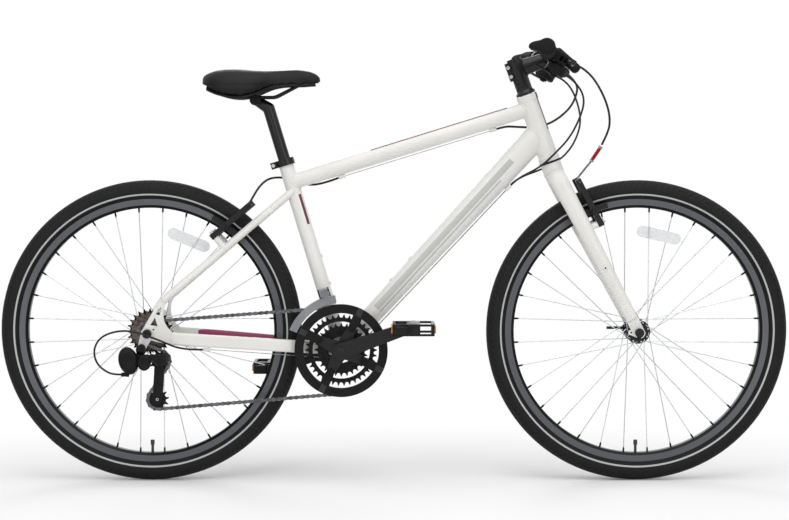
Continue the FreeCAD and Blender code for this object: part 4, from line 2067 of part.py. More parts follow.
# Along the saddle from its back, width, top and lower edge
SADDLE_SHARES = (
    (0.00, 0.34, 0.40, 0.56), (0.05, 0.74, 0.13, 0.68), (0.17, 0.96, 0.02, 0.90), (0.295, 1.00, 0.00, 0.99),
    (0.44, 0.84, 0.04, 0.88), (0.59, 0.52, 0.05, 0.62), (0.72, 0.36, 0.02, 0.53), (0.85, 0.30, 0.00, 0.52),
    (0.95, 0.25, 0.07, 0.49), (1.00, 0.13, 0.27, 0.43),
)
ARCH_SHARE = 0.40


def saddle_line(points):
    """Smooth open curve through points."""
    curve = Part.BSplineCurve()
    curve.interpolate(points)
    return curve.toShape()


def saddle_section(shares, lift, thickness):
    """Closed section of the saddle: its cushion, or a shell of a thickness below it."""
    along, width, top, bottom = shares
    x = CRADLE.x - s.saddle_behind_clamp + s.saddle_length * along
    high = CRADLE.z + s.saddle_top_above_clamp
    half = s.saddle_width / 2 * width
    crown, edge = high - s.saddle_depth * top, high - s.saddle_depth * bottom
    depth = crown - edge
    arch = depth * ARCH_SHARE

    def arch_line(drop):
        ways = ((1, 0), (0.55, 0.8), (0, 1), (-0.55, 0.8), (-1, 0))
        return saddle_line([Vector(x, half * a, edge + arch * b - drop) for a, b in ways])

    if thickness:
        first, last = arch_line(lift), arch_line(lift + thickness)
        ends = [edge_line(first, last, end) for end in (0, 1)]
        return Part.Wire(Part.__sortEdges__([first, last] + ends))
    ways = ((-1, 0), (-1, 0.45), (-0.72, 0.88), (0, 1), (0.72, 0.88), (1, 0.45), (1, 0))
    outer = saddle_line([Vector(x, half * a, edge + depth * b) for a, b in ways])
    return Part.Wire(Part.__sortEdges__([outer, arch_line(0)]))


def edge_line(first, last, end):
    """Straight edge between the ends of two curves."""
    return Part.LineSegment(first.Vertexes[end].Point, last.Vertexes[end].Point).toShape()


RAIL_END_SHARES = (0.10, 0.86, 0.42)


def cushion():
    """The cushion's form, which also trims what ends under it."""
    return feature(loft(*[saddle_section(shares, 0, 0) for shares in SADDLE_SHARES]))


def saddle():
    """Cushion, and below it the base shell with its rails and clamp cheeks."""
    deliver("saddle_pad", cushion())
    inner_shares = SADDLE_SHARES[1:-1]
    base = feature(loft(*[saddle_section(shares, s.fit_clearance, s.saddle_base_thickness)
                          for shares in inner_shares]))
    rail_height = CRADLE.z + s.rail_above_cradle
    rear = CRADLE.x - s.saddle_behind_clamp
    rails = []
    for _, side in SIDES:
        spread = side * s.rail_spread
        top = CRADLE.z + s.saddle_top_above_clamp - s.saddle_depth * RAIL_END_SHARES[2]
        points = [
            Vector(rear + s.saddle_length * RAIL_END_SHARES[0], spread * 1.5, top),
            Vector(CRADLE.x - s.cradle_width * 1.4, spread, rail_height),
            Vector(CRADLE.x + s.cradle_width * 1.3, spread, rail_height),
            Vector(rear + s.saddle_length * RAIL_END_SHARES[1], spread * 0.3, top),
        ]
        wire = route(points, [s.rail_bend_radius, s.rail_bend_radius])
        section = Part.Wire([Part.Circle(points[0], points[1] - points[0], s.rail_radius).toShape()])
        rails.append(feature(swept(wire, section)))
    body = cut(fuse(base, *rails), cushion())
    cheeks, grooves = [], []
    for _, side in SIDES:
        start = sideways(CRADLE, side * (EAR_HALF + s.fit_clearance))
        width = s.cradle_width / 2
        cheeks.append(cylinder(start, SIDE * side, s.cradle_radius, width))
        seat = sideways(CRADLE, side * s.rail_spread) + UP * s.rail_above_cradle - FORWARD * s.cradle_width
        grooves.append(cylinder(seat, FORWARD, s.rail_radius + s.running_clearance, 2 * s.cradle_width))
    bolt = cylinder(sideways(CRADLE, -EAR_HALF - s.cradle_width / 2), SIDE, s.bolt_head_radius,
                    2 * EAR_HALF + s.cradle_width)
    deliver("saddle_rails", body, cut(fuse(*cheeks, bolt), *grooves))


# Cable routes as shares of the wheelbase, from the middle of the bike on the ground
FRONT_BRAKE_SHARES = (
    (0.3565, -0.0914, 0.8601), (0.3784, -0.0695, 0.8501), (0.4004, -0.0411, 0.8318),
    (0.4205, -0.0091, 0.8044), (0.4351, 0.0165, 0.7765), (0.4406, 0.0274, 0.7486),
    (0.4403, 0.0329, 0.7276), (0.4303, 0.0366, 0.6920),
)
MODULATOR_SHARES = (
    (0.4290, 0.0370, 0.6887), (0.4092, 0.0420, 0.6581),
)
REAR_BRAKE_SHARES = (
    (0.3528, 0.0969, 0.8501), (0.3720, 0.0777, 0.8318), (0.3812, 0.0567, 0.8154),
    (0.3792, 0.0439, 0.7976), (0.3665, 0.0347, 0.7706), (0.3419, 0.0311, 0.7477),
    (0.3154, 0.0302, 0.7331), (0.2852, 0.0283, 0.7276), (0.2468, 0.0183, 0.7294),
)
REAR_SHIFT_SHARES = (
    (0.3601, -0.0750, 0.8227), (0.3821, -0.0567, 0.7971), (0.3853, -0.0475, 0.7697),
    (0.3709, -0.0384, 0.7313), (0.3544, -0.0347, 0.7029), (0.3336, -0.0302, 0.6801),
    (0.3007, -0.0247, 0.6472),
)
FRONT_SHIFT_SHARES = (
    (0.3547, 0.0750, 0.8282), (0.3729, 0.0603, 0.8044), (0.3853, 0.0475, 0.7645),
    (0.3869, 0.0420, 0.7357), (0.3792, 0.0384, 0.7090), (0.3659, 0.0347, 0.6842),
    (0.3441, 0.0311, 0.6615), (0.3108, 0.0256, 0.6435),
)
SEAT_LOOP_SHARES = (
    (-0.1600, -0.0110, 0.6069), (-0.1965, -0.0238, 0.6143), (-0.2327, -0.0247, 0.6271),
    (-0.2678, -0.0311, 0.6179),
)
HANGER_LOOP_SHARES = (
    (-0.4296, -0.0768, 0.2770), (-0.4717, -0.0878, 0.2971), (-0.5329, -0.0951, 0.3208),
    (-0.5850, -0.0932, 0.3112), (-0.6015, -0.0896, 0.2843), (-0.5951, -0.0859, 0.2569),
    (-0.5750, -0.0786, 0.2431),
)


def spots(shares):
    """Points of a cable route."""
    return [Vector(x, y, z) * s.wheelbase for x, y, z in shares]


TOP_LINE = (TOP_FRONT - TOP_REAR).normalize()
TOP_BELOW = SIDE.cross(TOP_LINE)
TOP_STOP_SHARES = (0.83, 0.20)
STOP_SEAT = s.cable_stop_radius + 2 * s.running_clearance


def top_stop(share):
    """Middle of a cable stop under the top tube."""
    return TOP_REAR + (TOP_FRONT - TOP_REAR) * share + TOP_BELOW * (s.top_tube_diameter / 2 + STOP_SEAT)


def down_stop(distance, side):
    """Middle of a cable stop, or a point of the wire behind it, under the down tube."""
    skin = down_tube_skin(distance / (DOWN_FRONT - CRANK_AXIS).Length)
    point = CRANK_AXIS + DOWN_UP * distance + DOWN_BELOW * (skin + STOP_SEAT)
    return sideways(point, side * s.down_wire_spread)


def stop_piece(centre, along):
    """Barrel of a cable stop."""
    foot = centre - along * (s.cable_stop_length / 2)
    return cylinder(foot, along, s.cable_stop_radius, s.cable_stop_length)


def wire(start, end):
    """Straight bare wire."""
    line = end - start
    return cylinder(start, Vector(line).normalize(), s.wire_diameter / 2, line.Length)


def arm_wire(pivot, up, side):
    """Wire between two brake arms with its boot, and the end of the bent guide at one arm."""
    at = pivot + up * (s.arm_length - s.shoe_stud_radius)
    reach = s.post_spread + s.arm_width / 2
    run = cylinder(sideways(at, -side * (reach + s.arm_boss_radius)), SIDE * side, s.wire_diameter / 2,
                   2 * reach + s.arm_boss_radius)
    boot = cylinder(sideways(at, -side * s.arm_boss_radius / 2), SIDE * side, s.cable_stop_radius,
                    s.post_spread * 0.75)
    return fuse(run, boot), sideways(at, side * reach)


def pod_spots(side):
    """First two points of a brake housing, square to its lever bracket."""
    centre, ahead, outward, _ = control_frame(side)
    start = centre + ahead * (s.pod_clamp_diameter / 2) - outward * (s.pod_clamp_width / 2)
    return [start - outward * s.running_clearance, start - outward * s.overrun]


def shifter_spots(side):
    """First two points of a gear housing, square to its shifter housing."""
    centre, ahead, outward, hinge = control_frame(side)
    middle = centre + ahead * s.pod_disc_forward - outward * (s.pod_clamp_width * 0.6)
    middle = middle - hinge * (s.bar_tube_diameter / 2 + s.pod_disc_height / 2)
    edge = middle - outward * (s.pod_disc_radius + s.running_clearance)
    return [edge, edge - outward * s.overrun]


def control_cables():
    """Housings from the controls: to the front brake, and to the frame's cable stops."""
    front_wire, guide_end = arm_wire(FRONT_PIVOT, BLADE_UP, 1)
    brake = feature(cord(pod_spots(-1) + spots(FRONT_BRAKE_SHARES), s.brake_housing_diameter))
    first, last = spots(MODULATOR_SHARES)
    line = Vector(last - first).normalize()
    modulator = cylinder(first, line, s.brake_housing_diameter, (last - first).Length)
    corner = guide_end + SIDE * s.arm_boss_radius * 2
    guide = feature(cord([last, (last + corner) * 0.5 + SIDE * s.arm_boss_radius, corner, guide_end],
                         s.brake_housing_diameter))
    half = s.cable_stop_length / 2
    front_stop = top_stop(TOP_STOP_SHARES[0]) + TOP_LINE * (half + s.running_clearance)
    run = TOP_LINE * s.overrun
    rear = feature(cord(pod_spots(1) + spots(REAR_BRAKE_SHARES) + [front_stop + run, front_stop],
                        s.brake_housing_diameter))
    shifts = []
    for side, shares in ((-1, REAR_SHIFT_SHARES), (1, FRONT_SHIFT_SHARES)):
        end = down_stop(s.down_stop_distance, side) + DOWN_UP * (half + s.running_clearance)
        way = shifter_spots(side) + spots(shares) + [end + DOWN_UP * s.overrun, end]
        shifts.append(feature(cord(way, s.gear_housing_diameter)))
    deliver("control_cables", fuse(front_wire, guide), brake, modulator, rear, *shifts)


def frame_cables():
    """Stops, bare wires and housings on the frame, to the rear brake and both derailleurs."""
    pieces = []
    half = s.cable_stop_length / 2
    stops = [top_stop(share) for share in TOP_STOP_SHARES]
    pieces += [stop_piece(stop, TOP_LINE) for stop in stops]
    pieces.append(wire(stops[1] + TOP_LINE * half, stops[0] - TOP_LINE * half))
    rear_wire, guide_end = arm_wire(REAR_PIVOT, STAY_UP, -1)
    corner = guide_end - SIDE * s.arm_boss_radius * 2
    pieces.append(fuse(rear_wire, feature(cord(
        [stops[1] - TOP_LINE * half] + spots(SEAT_LOOP_SHARES) + [corner, guide_end],
        s.brake_housing_diameter))))
    low = CRANK_AXIS - UP * (s.shell_diameter / 2 + s.cap_height / 2 + s.running_clearance)
    pieces.append(block(low, (s.crank_hub_radius, s.crank_hub_radius * 2, s.cap_height)))
    nose = s.crank_hub_radius / 2
    for side in (-1, 1):
        stop = down_stop(s.down_stop_distance, side)
        pieces.append(stop_piece(stop, DOWN_UP))
        near = down_stop(s.crank_hub_radius * 2, side)
        pieces.append(wire(stop - DOWN_UP * half, near))
        pieces.append(wire(near, sideways(low, near.y) + FORWARD * nose))
    stay_stop = CRANK_AXIS - CHAIN_AHEAD * s.stay_stop_distance
    below_stay = s.chainstay_height / 2 + STOP_SEAT + s.crown_gap
    stay_stop = sideways(stay_stop, -s.stay_stop_spread) - UP * below_stay
    pieces.append(wire(sideways(low, -s.down_wire_spread) - FORWARD * nose, stay_stop + FORWARD * half))
    pieces.append(stop_piece(stay_stop, FORWARD))
    end = BODY_PIVOT - LINK_ALONG * (s.shift_link_radius + s.shift_strut + s.crown_gap)
    way = [stay_stop - FORWARD * half] + spots(HANGER_LOOP_SHARES) + [end - LINK_ALONG * s.overrun, end]
    pieces.append(feature(cord(way, s.gear_housing_diameter)))
    band_low = CRANK_AXIS + SEAT_UP * (s.band_above_axis - s.band_height / 2)
    top = sideways(band_low - MECH_AHEAD * (s.seat_tube_diameter / 2 + s.cable_stop_radius), -s.wire_diameter)
    bend = sideways(low - FORWARD * (s.crank_hub_radius * 1.6), s.down_wire_spread)
    pieces.append(wire(sideways(low, s.down_wire_spread) - FORWARD * nose, bend))
    pieces.append(wire(bend, top))
    deliver("frame_cables", *pieces)


def build():
    """Makes every sub-part."""
    for piece in (head_tube, top_tube, seat_tube, down_tube, bottom_bracket, rear_stays, rear_dropouts,
                  headset, seat_clamp, fork, stem, handlebar, grips, controls, brake_levers, shift_levers):
        piece()
    front_face = s.front_hub_width / 2 + s.front_dropout_thickness
    rear_face = s.rear_hub_width / 2 + s.rear_dropout_thickness
    axle("front_axle", FRONT_AXLE, s.front_hub_width, front_face, front_face)
    axle("rear_axle", REAR_AXLE, s.rear_hub_width, rear_face, rear_face + s.hanger_thickness)
    release_lever("front_release_lever", FRONT_AXLE, front_face)
    release_lever("rear_release_lever", REAR_AXLE, rear_face)
    wheel("front", FRONT_AXLE, s.front_hub_width, s.front_flange_spread, s.front_flange_spread,
          angles.front_reflector_angle)
    wheel("rear", REAR_AXLE, s.rear_hub_width, s.rear_left_spread, s.rear_right_spread,
          angles.rear_reflector_angle)
    brake_arms("front", FRONT_AXLE, FRONT_PIVOT, BLADE_UP, BLADE_AHEAD)
    brake_arms("rear", REAR_AXLE, REAR_PIVOT, STAY_UP, STAY_BACK)
    for piece in (chain, cassette, chainrings, chain_guard, cranks, pedals, rear_derailleur,
                  front_derailleur, seatpost, saddle, control_cables, frame_cables):
        piece()


build()
doc.recompute()
for thing in doc.Objects:
    if "Invalid" in thing.State or "Error" in thing.State:
        raise RuntimeError(f"{thing.Name} ({thing.Label}) did not build")
for label, thing in NODES.items():
    if thing.Shape.isNull() or not thing.Shape.isValid():
        raise RuntimeError(f"{label} is not a sound shape")
os.makedirs("parts", exist_ok=True)
for label, thing in NODES.items():
    thing.Shape.exportStep(f"parts/{label}.step")
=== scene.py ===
"""Looks of a flat-bar hybrid bicycle, in metres: X forward, Y to the rider's left, Z up."""
import json
import math

import bpy
from mathutils import Matrix, Vector


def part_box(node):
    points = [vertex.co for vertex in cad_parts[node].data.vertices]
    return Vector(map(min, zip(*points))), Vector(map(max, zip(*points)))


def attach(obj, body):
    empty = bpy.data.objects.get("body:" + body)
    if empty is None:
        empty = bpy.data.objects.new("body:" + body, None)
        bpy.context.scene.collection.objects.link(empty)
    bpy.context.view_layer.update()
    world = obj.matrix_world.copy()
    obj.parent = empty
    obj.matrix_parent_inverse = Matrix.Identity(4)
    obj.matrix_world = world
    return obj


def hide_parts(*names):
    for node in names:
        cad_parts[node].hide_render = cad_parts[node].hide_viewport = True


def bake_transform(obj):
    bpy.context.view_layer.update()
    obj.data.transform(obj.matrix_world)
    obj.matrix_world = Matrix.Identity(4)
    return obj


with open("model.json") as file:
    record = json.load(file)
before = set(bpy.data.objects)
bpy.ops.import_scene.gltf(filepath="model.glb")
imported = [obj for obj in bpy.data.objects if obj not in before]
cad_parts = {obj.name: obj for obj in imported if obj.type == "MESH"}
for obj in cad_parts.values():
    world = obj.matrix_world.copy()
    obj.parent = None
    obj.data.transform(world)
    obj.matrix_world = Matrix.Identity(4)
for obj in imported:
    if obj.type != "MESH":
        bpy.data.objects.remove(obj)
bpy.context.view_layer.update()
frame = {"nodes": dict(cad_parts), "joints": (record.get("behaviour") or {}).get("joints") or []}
nodes = frame["nodes"]
joint_at = {joint["name"]: Vector(joint.get("pos_m", (0, 0, 0))) for joint in frame["joints"]}
joint_axis = {joint["name"]: Vector(joint["axis"]) for joint in frame["joints"]}
crank_axis = joint_at["crank_spin"]
forward, leftward, rightward, upward = (Vector(way) for way in ((1, 0, 0), (0, 1, 0), (0, -1, 0), (0, 0, 1)))


# Frame: butted aluminium tubes, welded and then sprayed with a pearl white lacquer under
# a clear coat. Its marks are plain stripes: silver-grey on the down tube, maroon on the
# top tube and seat tube, black on the front of the head tube, magenta inside the far stay.
def linear(code):
    """Linear colour of an sRGB hex value."""
    shares = [int(code[start:start + 2], 16) / 255 for start in (0, 2, 4)]
    return [share / 12.92 if share <= 0.04045 else ((share + 0.055) / 1.055) ** 2.4
            for share in shares] + [1.0]


def scale_for(millimetres):
    """Texture scale whose pattern repeats about once in a real size."""
    return 1000 / millimetres


def add(tree, kind, settings, inputs):
    """A shader node with its settings, its input values and its links; gives its outputs."""
    node = tree.nodes.new("ShaderNode" + kind)
    for name, value in settings.items():
        setattr(node, name, value)
    for name, value in inputs.items():
        if isinstance(value, bpy.types.NodeSocket):
            tree.links.new(value, node.inputs[name])
        else:
            node.inputs[name].default_value = value
    return node.outputs


def new_finish(name, inputs):
    """A material whose shader has these values, with its tree, its shader and its coordinates."""
    material = bpy.data.materials.new(name)
    material.use_nodes = True
    tree = material.node_tree
    shader = tree.nodes["Principled BSDF"]
    for key, value in inputs.items():
        shader.inputs[key].default_value = value
    place = add(tree, "TexCoord", {}, {})["Object"]
    return material, tree, shader, place


def noise(tree, place, millimetres, detail):
    """Cloudy noise of a real size."""
    return add(tree, "TexNoise", {}, {"Vector": place, "Scale": scale_for(millimetres), "Detail": detail})["Fac"]


def maths(tree, operation, *values):
    """One sum on values or sockets."""
    return add(tree, "Math", {"operation": operation}, dict(enumerate(values)))[0]


def vectors(tree, operation, *values):
    """One vector sum on vectors or sockets; gives its outputs."""
    return add(tree, "VectorMath", {"operation": operation}, dict(enumerate(values)))


def colour_mix(tree, share, first, second):
    """One colour over another by a share: hex values, linear colours or sockets."""
    first, second = (linear(tint) if isinstance(tint, str) else tint for tint in (first, second))
    return add(tree, "Mix", {"data_type": "RGBA"}, {0: share, 6: first, 7: second})[2]


def paint(tree, shader, share, first, second):
    """Colours the shader with a mix of two colours."""
    tree.links.new(colour_mix(tree, share, first, second), shader.inputs["Base Color"])


def emboss(tree, shader, strength, depth, height):
    """Gives the shader a relief of a depth in metres."""
    bump = add(tree, "Bump", {}, {"Strength": strength, "Distance": depth, "Height": height})["Normal"]
    tree.links.new(bump, shader.inputs["Normal"])


def band(tree, place, direction, low, high):
    """1 where the distance along a direction lies between two values."""
    along = vectors(tree, "DOT_PRODUCT", place, direction)["Value"]
    return maths(tree, "COMPARE", along, (low + high) / 2, (high - low) / 2)


def dress(material, *names):
    """Gives solids of the frame their finish."""
    for name in names:
        nodes[name].data.materials.clear()
        nodes[name].data.materials.append(material)


pearl_white, pearl_shade = "e9e8e4", "dcdbd6"
mica_size, drift_size, peel_size, mica_share = 1.4, 90, 12, 0.08


def pearl_lacquer(name, marks):
    """White lacquer whose mica gives a soft pearl, and stripes under the clear coat."""
    material, tree, shader, place = new_finish(name, {
        "Roughness": 0.44, "Coat Weight": 0.3, "Coat Roughness": 0.22, "Specular IOR Level": 0.4})
    mica = noise(tree, place, mica_size, 1.0)
    drift = noise(tree, place, drift_size, 1.0)
    pearl = maths(tree, "MULTIPLY_ADD", mica, mica_share, drift)
    colour = colour_mix(tree, pearl, pearl_white, pearl_shade)
    for code, tests in marks:
        share = 1.0
        for direction, low, high in tests:
            share = maths(tree, "MULTIPLY", share, band(tree, place, direction, low, high))
        colour = colour_mix(tree, share, colour, code)
    tree.links.new(colour, shader.inputs["Base Color"])
    emboss(tree, shader, 0.012, 0.0004, noise(tree, place, peel_size, 0.0))
    return material


def span(direction, origin, low, high):
    """A stripe's reach along a direction, measured from a point."""
    start = direction.dot(origin)
    return direction, start + low, start + high


steer_up = joint_axis["steering"]
steer_ahead = Vector((steer_up.z, 0, -steer_up.x))
head_foot = joint_at["steering"]
seat_up = joint_axis["seatpost_height"]
seat_ahead = Vector((seat_up.z, 0, -seat_up.x))
top_line, down_line = Vector((0.955537, 0, 0.294873)), Vector((0.676298, 0, 0.736628))
top_up, down_up = (Vector((-line.z, 0, line.x)) for line in (top_line, down_line))
top_rear = Vector((-0.230872, 0, 0.673312))

maroon, silver_grey, black_mark, magenta = "5d2630", "b9bab7", "1c1a1b", "8d2a56"
for name, node, marks in (
        ("pearl lacquer with a maroon stripe", "top_tube", [
            (maroon, [span(top_up, top_rear, 0.0148, 0.02), (top_line, 0.17, 0.49)])]),
        ("pearl lacquer with a black head stripe", "head_tube", [
            (black_mark, [span(steer_ahead, head_foot, 0.0186, 0.03), span(steer_up, head_foot, 0.072, 0.2)])]),
        ("pearl lacquer with silver-grey stripes", "down_tube", [
            (silver_grey, [span(down_up, crank_axis, -0.002, 0.012), span(down_line, crank_axis, 0.12, 0.57)]),
            (silver_grey, [span(down_up, crank_axis, -0.009, -0.005), span(down_line, crank_axis, 0.12, 0.52)])]),
        ("pearl lacquer with a seat tube stripe", "seat_tube", [
            (maroon, [span(seat_ahead, crank_axis, 0.008, 0.0135), span(seat_up, crank_axis, 0.29, 0.36)])]),
        ("pearl lacquer with a magenta stay", "rear_stays", [
            (magenta, [(leftward, 0.02, 0.062), (upward, 0.24, 0.345), (forward, -0.46, -0.17)])])):
    dress(pearl_lacquer(name, marks), node)
plain_pearl = pearl_lacquer("plain pearl lacquer", [])
dress(plain_pearl, "rear_dropouts", "fork")


# Weld beads: the row of overlapping puddles that the torch leaves where two tubes meet,
# covered by the same lacquer as the tubes.
bead_radius, puddle_pitch, puddle_neck = 0.0021, 0.0022, 0.84
grazing = 0.00001


def as_mesh(piece, finish):
    """Turns a curve into a smooth mesh with a finish."""
    bpy.ops.object.select_all(action="DESELECT")
    bpy.context.view_layer.objects.active = piece
    piece.select_set(True)
    bpy.ops.object.convert(target="MESH")
    piece = bpy.context.object
    bpy.ops.object.shade_smooth()
    piece.data.materials.clear()
    piece.data.materials.append(finish)
    return piece


def weld(name, post_at, post_along, post_radius, tube_at, tube_along, tube_up, half_up, half_wide):
    """Bead round the end of an oval tube where it meets a round post."""
    curve = bpy.data.curves.new(name, "CURVE")
    curve.dimensions = "3D"
    curve.bevel_depth = bead_radius
    curve.bevel_resolution = 2
    curve.use_fill_caps = True
    count = int(2 * math.pi * max(half_up, half_wide) / puddle_pitch)
    run = []
    for number in range(count + 1):
        turn = 2 * math.pi * number / count
        spot = tube_at + tube_up * (half_up * math.cos(turn)) + Vector((0, half_wide * math.sin(turn), 0))
        apart = spot - post_at
        apart -= post_along * apart.dot(post_along)
        way = tube_along - post_along * tube_along.dot(post_along)
        square = way.dot(way)
        middle = apart.dot(way)
        room = middle ** 2 - square * (apart.dot(apart) - post_radius ** 2)
        meets = room > grazing * square
        if meets:
            run.append(spot + tube_along * ((math.sqrt(room) - middle) / square))
        if run and (not meets or number == count):
            spline = curve.splines.new("POLY")
            spline.points.add(len(run) - 1)
            for order, (knot, point) in enumerate(zip(spline.points, run)):
                knot.co = (*point, 1)
                knot.radius = 1.0 if order % 2 else puddle_neck
            run = []
    piece = bpy.data.objects.new(name, curve)
    bpy.context.scene.collection.objects.link(piece)
    piece = as_mesh(piece, plain_pearl)
    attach(piece, "frame")


head_radius, seat_radius, shell_radius, top_radius = 0.022, 0.0165, 0.0205, 0.01775
down_deep, down_wide, down_radius = 0.029, 0.021, 0.02
top_front, down_front = Vector((0.307327, 0, 0.839397)), Vector((0.327313, 0, 0.783885))
weld("weld_head_top", head_foot, steer_up, head_radius, top_front, -top_line, top_up, top_radius, top_radius)
weld("weld_head_down", head_foot, steer_up, head_radius, down_front, -down_line, down_up, down_deep, down_wide)
weld("weld_seat_top", crank_axis, seat_up, seat_radius, top_rear, top_line, top_up, top_radius, top_radius)
weld("weld_shell_down", crank_axis, leftward, shell_radius, crank_axis, down_line, down_up, down_radius, down_radius)
weld("weld_shell_seat", crank_axis, leftward, shell_radius, crank_axis, seat_up, seat_ahead, seat_radius, seat_radius)


# Black fittings: forged and turned aluminium, bead blasted and then anodised satin black.
# The blasting leaves a fine grain, and handling leaves the gloss a little uneven.
def paler(code, factor):
    """Linear colour of a hex value, made paler by a factor."""
    return [min(1.0, value * factor) for value in linear(code)]


def gloss(tree, shader, share, low, high):
    """Gives the shader a roughness between two values by a share."""
    rough = add(tree, "MapRange", {}, {"Value": share, "To Min": low, "To Max": high})["Result"]
    tree.links.new(rough, shader.inputs["Roughness"])


black = "0f0f10"
satin_black, tree, shader, place = new_finish("satin black anodised aluminium", {
    "Metallic": 0.2, "Specular IOR Level": 0.4})
handling = noise(tree, place, 30, 2.0)
paint(tree, shader, handling, black, paler(black, 1.8))
gloss(tree, shader, handling, 0.22, 0.34)
emboss(tree, shader, 0.12, 0.0003, noise(tree, place, 0.9, 4.0))
dress(satin_black, "bottom_bracket", "headset_bearings", "seat_clamp", "stem", "handlebar", "seatpost", "front_hub",
      "rear_hub", "right_crank", "left_crank", "right_brake_lever", "left_brake_lever", "front_left_brake_arm",
      "front_right_brake_arm", "rear_left_brake_arm", "rear_right_brake_arm", "front_release_lever",
      "rear_release_lever")


# Gear bodies: glass-filled nylon and pressed steel. Moulded faces carry the mould's spark
# texture, and pressed plates have a smoother black dip coat.
def moulded(name, code, roughness):
    """Moulding with a spark-eroded texture."""
    material, tree, shader, place = new_finish(name, {"Roughness": roughness, "Specular IOR Level": 0.15})
    cells = add(tree, "TexVoronoi", {}, {"Vector": place, "Scale": scale_for(1.1)})["Distance"]
    paint(tree, shader, noise(tree, place, 14, 3.0), code, paler(code, 1.7))
    emboss(tree, shader, 0.18, 0.0003, cells)
    return material


nylon = moulded("spark-textured black nylon", "0e0e0f", 0.5)
dip_coat = moulded("black dip coat on pressed steel", "101011", 0.36)
dress(nylon, "controls", "right_shift_lever", "left_shift_lever", "chain_guard", "guide_pulley", "tension_pulley",
      "rear_derailleur_body", "derailleur_link", "derailleur_knuckle")
dress(dip_coat, "derailleur_cage", "front_derailleur_body", "front_derailleur_link", "saddle_rails")


# Drive: stamped steel chainrings, sprockets and chain. The rings are black,
# the sprockets bronze with a black largest one, and all are oiled.
def oiled_steel(name, code, dark, marks):
    """Stamped steel with an oil film that pools in dark patches, and painted layers across the bike."""
    material, tree, shader, place = new_finish(name, {"Metallic": 0.9})
    film = noise(tree, place, 7, 5.0)
    share = add(tree, "MapRange", {}, {"Value": film, "From Min": 0.35, "From Max": 0.7})["Result"]
    colour = colour_mix(tree, share, code, dark)
    for painted, low, high in marks:
        colour = colour_mix(tree, band(tree, place, leftward, low, high), colour, painted)
    tree.links.new(colour, shader.inputs["Base Color"])
    gloss(tree, shader, film, 0.22, 0.46)
    emboss(tree, shader, 0.1, 0.0002, noise(tree, place, 0.8, 2.0))
    return material


largest_low, largest_high = -0.0299, -0.02
dress(oiled_steel("bronze sprocket steel", "74685c", "3a322a", [("161617", largest_low, largest_high)]), "cassette")
dress(oiled_steel("oiled chain steel", "76767a", "3b3b3e", []), "chain")
dress(oiled_steel("black ring steel", "222224", "141415", []), "chainrings")
chrome, tree, shader, place = new_finish("chromed cage steel", {"Metallic": 1.0, "Roughness": 0.16})
paint(tree, shader, noise(tree, place, 60, 2.0), "808286", "b4b6b9")
dress(chrome, "front_derailleur_cage")


# Pedals: nylon bodies with two windows through each and an amber prism reflector moulded
# into the front and back edge.
amber_start = 0.0461


def reflector_nylon(name, middle):
    """Black nylon whose two outer edges are amber prisms."""
    material, tree, shader, place = new_finish(name, {"Roughness": 0.4, "Specular IOR Level": 0.2})
    away = maths(tree, "SUBTRACT", add(tree, "SeparateXYZ", {}, {"Vector": place})["X"], middle)
    amber = maths(tree, "GREATER_THAN", maths(tree, "ABSOLUTE", away), amber_start)
    cells = add(tree, "TexVoronoi", {}, {"Vector": place, "Scale": scale_for(3)})["Distance"]
    prisms = colour_mix(tree, cells, "d9731c", "f2a23a")
    body = colour_mix(tree, noise(tree, place, 1.2, 3.0), "0d0d0e", "19191a")
    paint(tree, shader, amber, body, prisms)
    emboss(tree, shader, 0.25, 0.0005, cells)
    return material


def copy_of(node, name):
    """A free copy of a solid of the frame, with its faces joined."""
    bpy.ops.object.select_all(action="DESELECT")
    piece = nodes[node].copy()
    piece.data = nodes[node].data.copy()
    piece.name = name
    for key in list(piece.keys()):
        del piece[key]
    piece.parent = None
    bpy.context.scene.collection.objects.link(piece)
    bpy.context.view_layer.objects.active = piece
    piece.select_set(True)
    bpy.ops.object.mode_set(mode="EDIT")
    bpy.ops.mesh.select_all(action="SELECT")
    bpy.ops.mesh.remove_doubles(threshold=0.00001)
    bpy.ops.mesh.normals_make_consistent(inside=False)
    bpy.ops.object.mode_set(mode="OBJECT")
    return piece


window_near, window_far, window_high, pedal_reach = 0.0145, 0.039, 0.0165, 0.12
for side in ("right", "left"):
    spindle = joint_at[f"{side}_pedal_spin"]
    dress(reflector_nylon(f"nylon and amber of the {side} pedal", spindle.x), f"{side}_pedal")
    pedal = copy_of(f"{side}_pedal", f"{side}_pedal_body")
    for way in (-1, 1):
        bpy.ops.object.select_all(action="DESELECT")
        middle = spindle + Vector((way * (window_near + window_far) / 2, 0, 0))
        bpy.ops.mesh.primitive_cube_add(size=1, location=middle)
        window = bpy.context.object
        window.scale = (window_far - window_near, pedal_reach, window_high)
        bpy.ops.object.transform_apply()
        opening = pedal.modifiers.new("window", "BOOLEAN")
        opening.object = window
        bpy.ops.object.select_all(action="DESELECT")
        bpy.context.view_layer.objects.active = pedal
        bpy.ops.object.modifier_apply(modifier=opening.name)
        bpy.data.objects.remove(window)
    pedal.select_set(True)
    bpy.ops.object.shade_smooth_by_angle(angle=math.radians(30))
    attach(pedal, f"{side}_pedal")
    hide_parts(f"{side}_pedal")


# Wheels: drawn stainless spokes with black nipples, double-wall rims with a machined
# brake track, and road tyres with a pale reflective line on the sidewall.
def wheel_radius(tree, place, centre):
    """Distance from a wheel's axle, and the arm from it in the wheel's plane."""
    arm = vectors(tree, "SUBTRACT", place, centre)["Vector"]
    flat = vectors(tree, "MULTIPLY", arm, (1, 0, 1))["Vector"]
    return vectors(tree, "LENGTH", flat)["Value"], flat


paint_edge = 0.0003


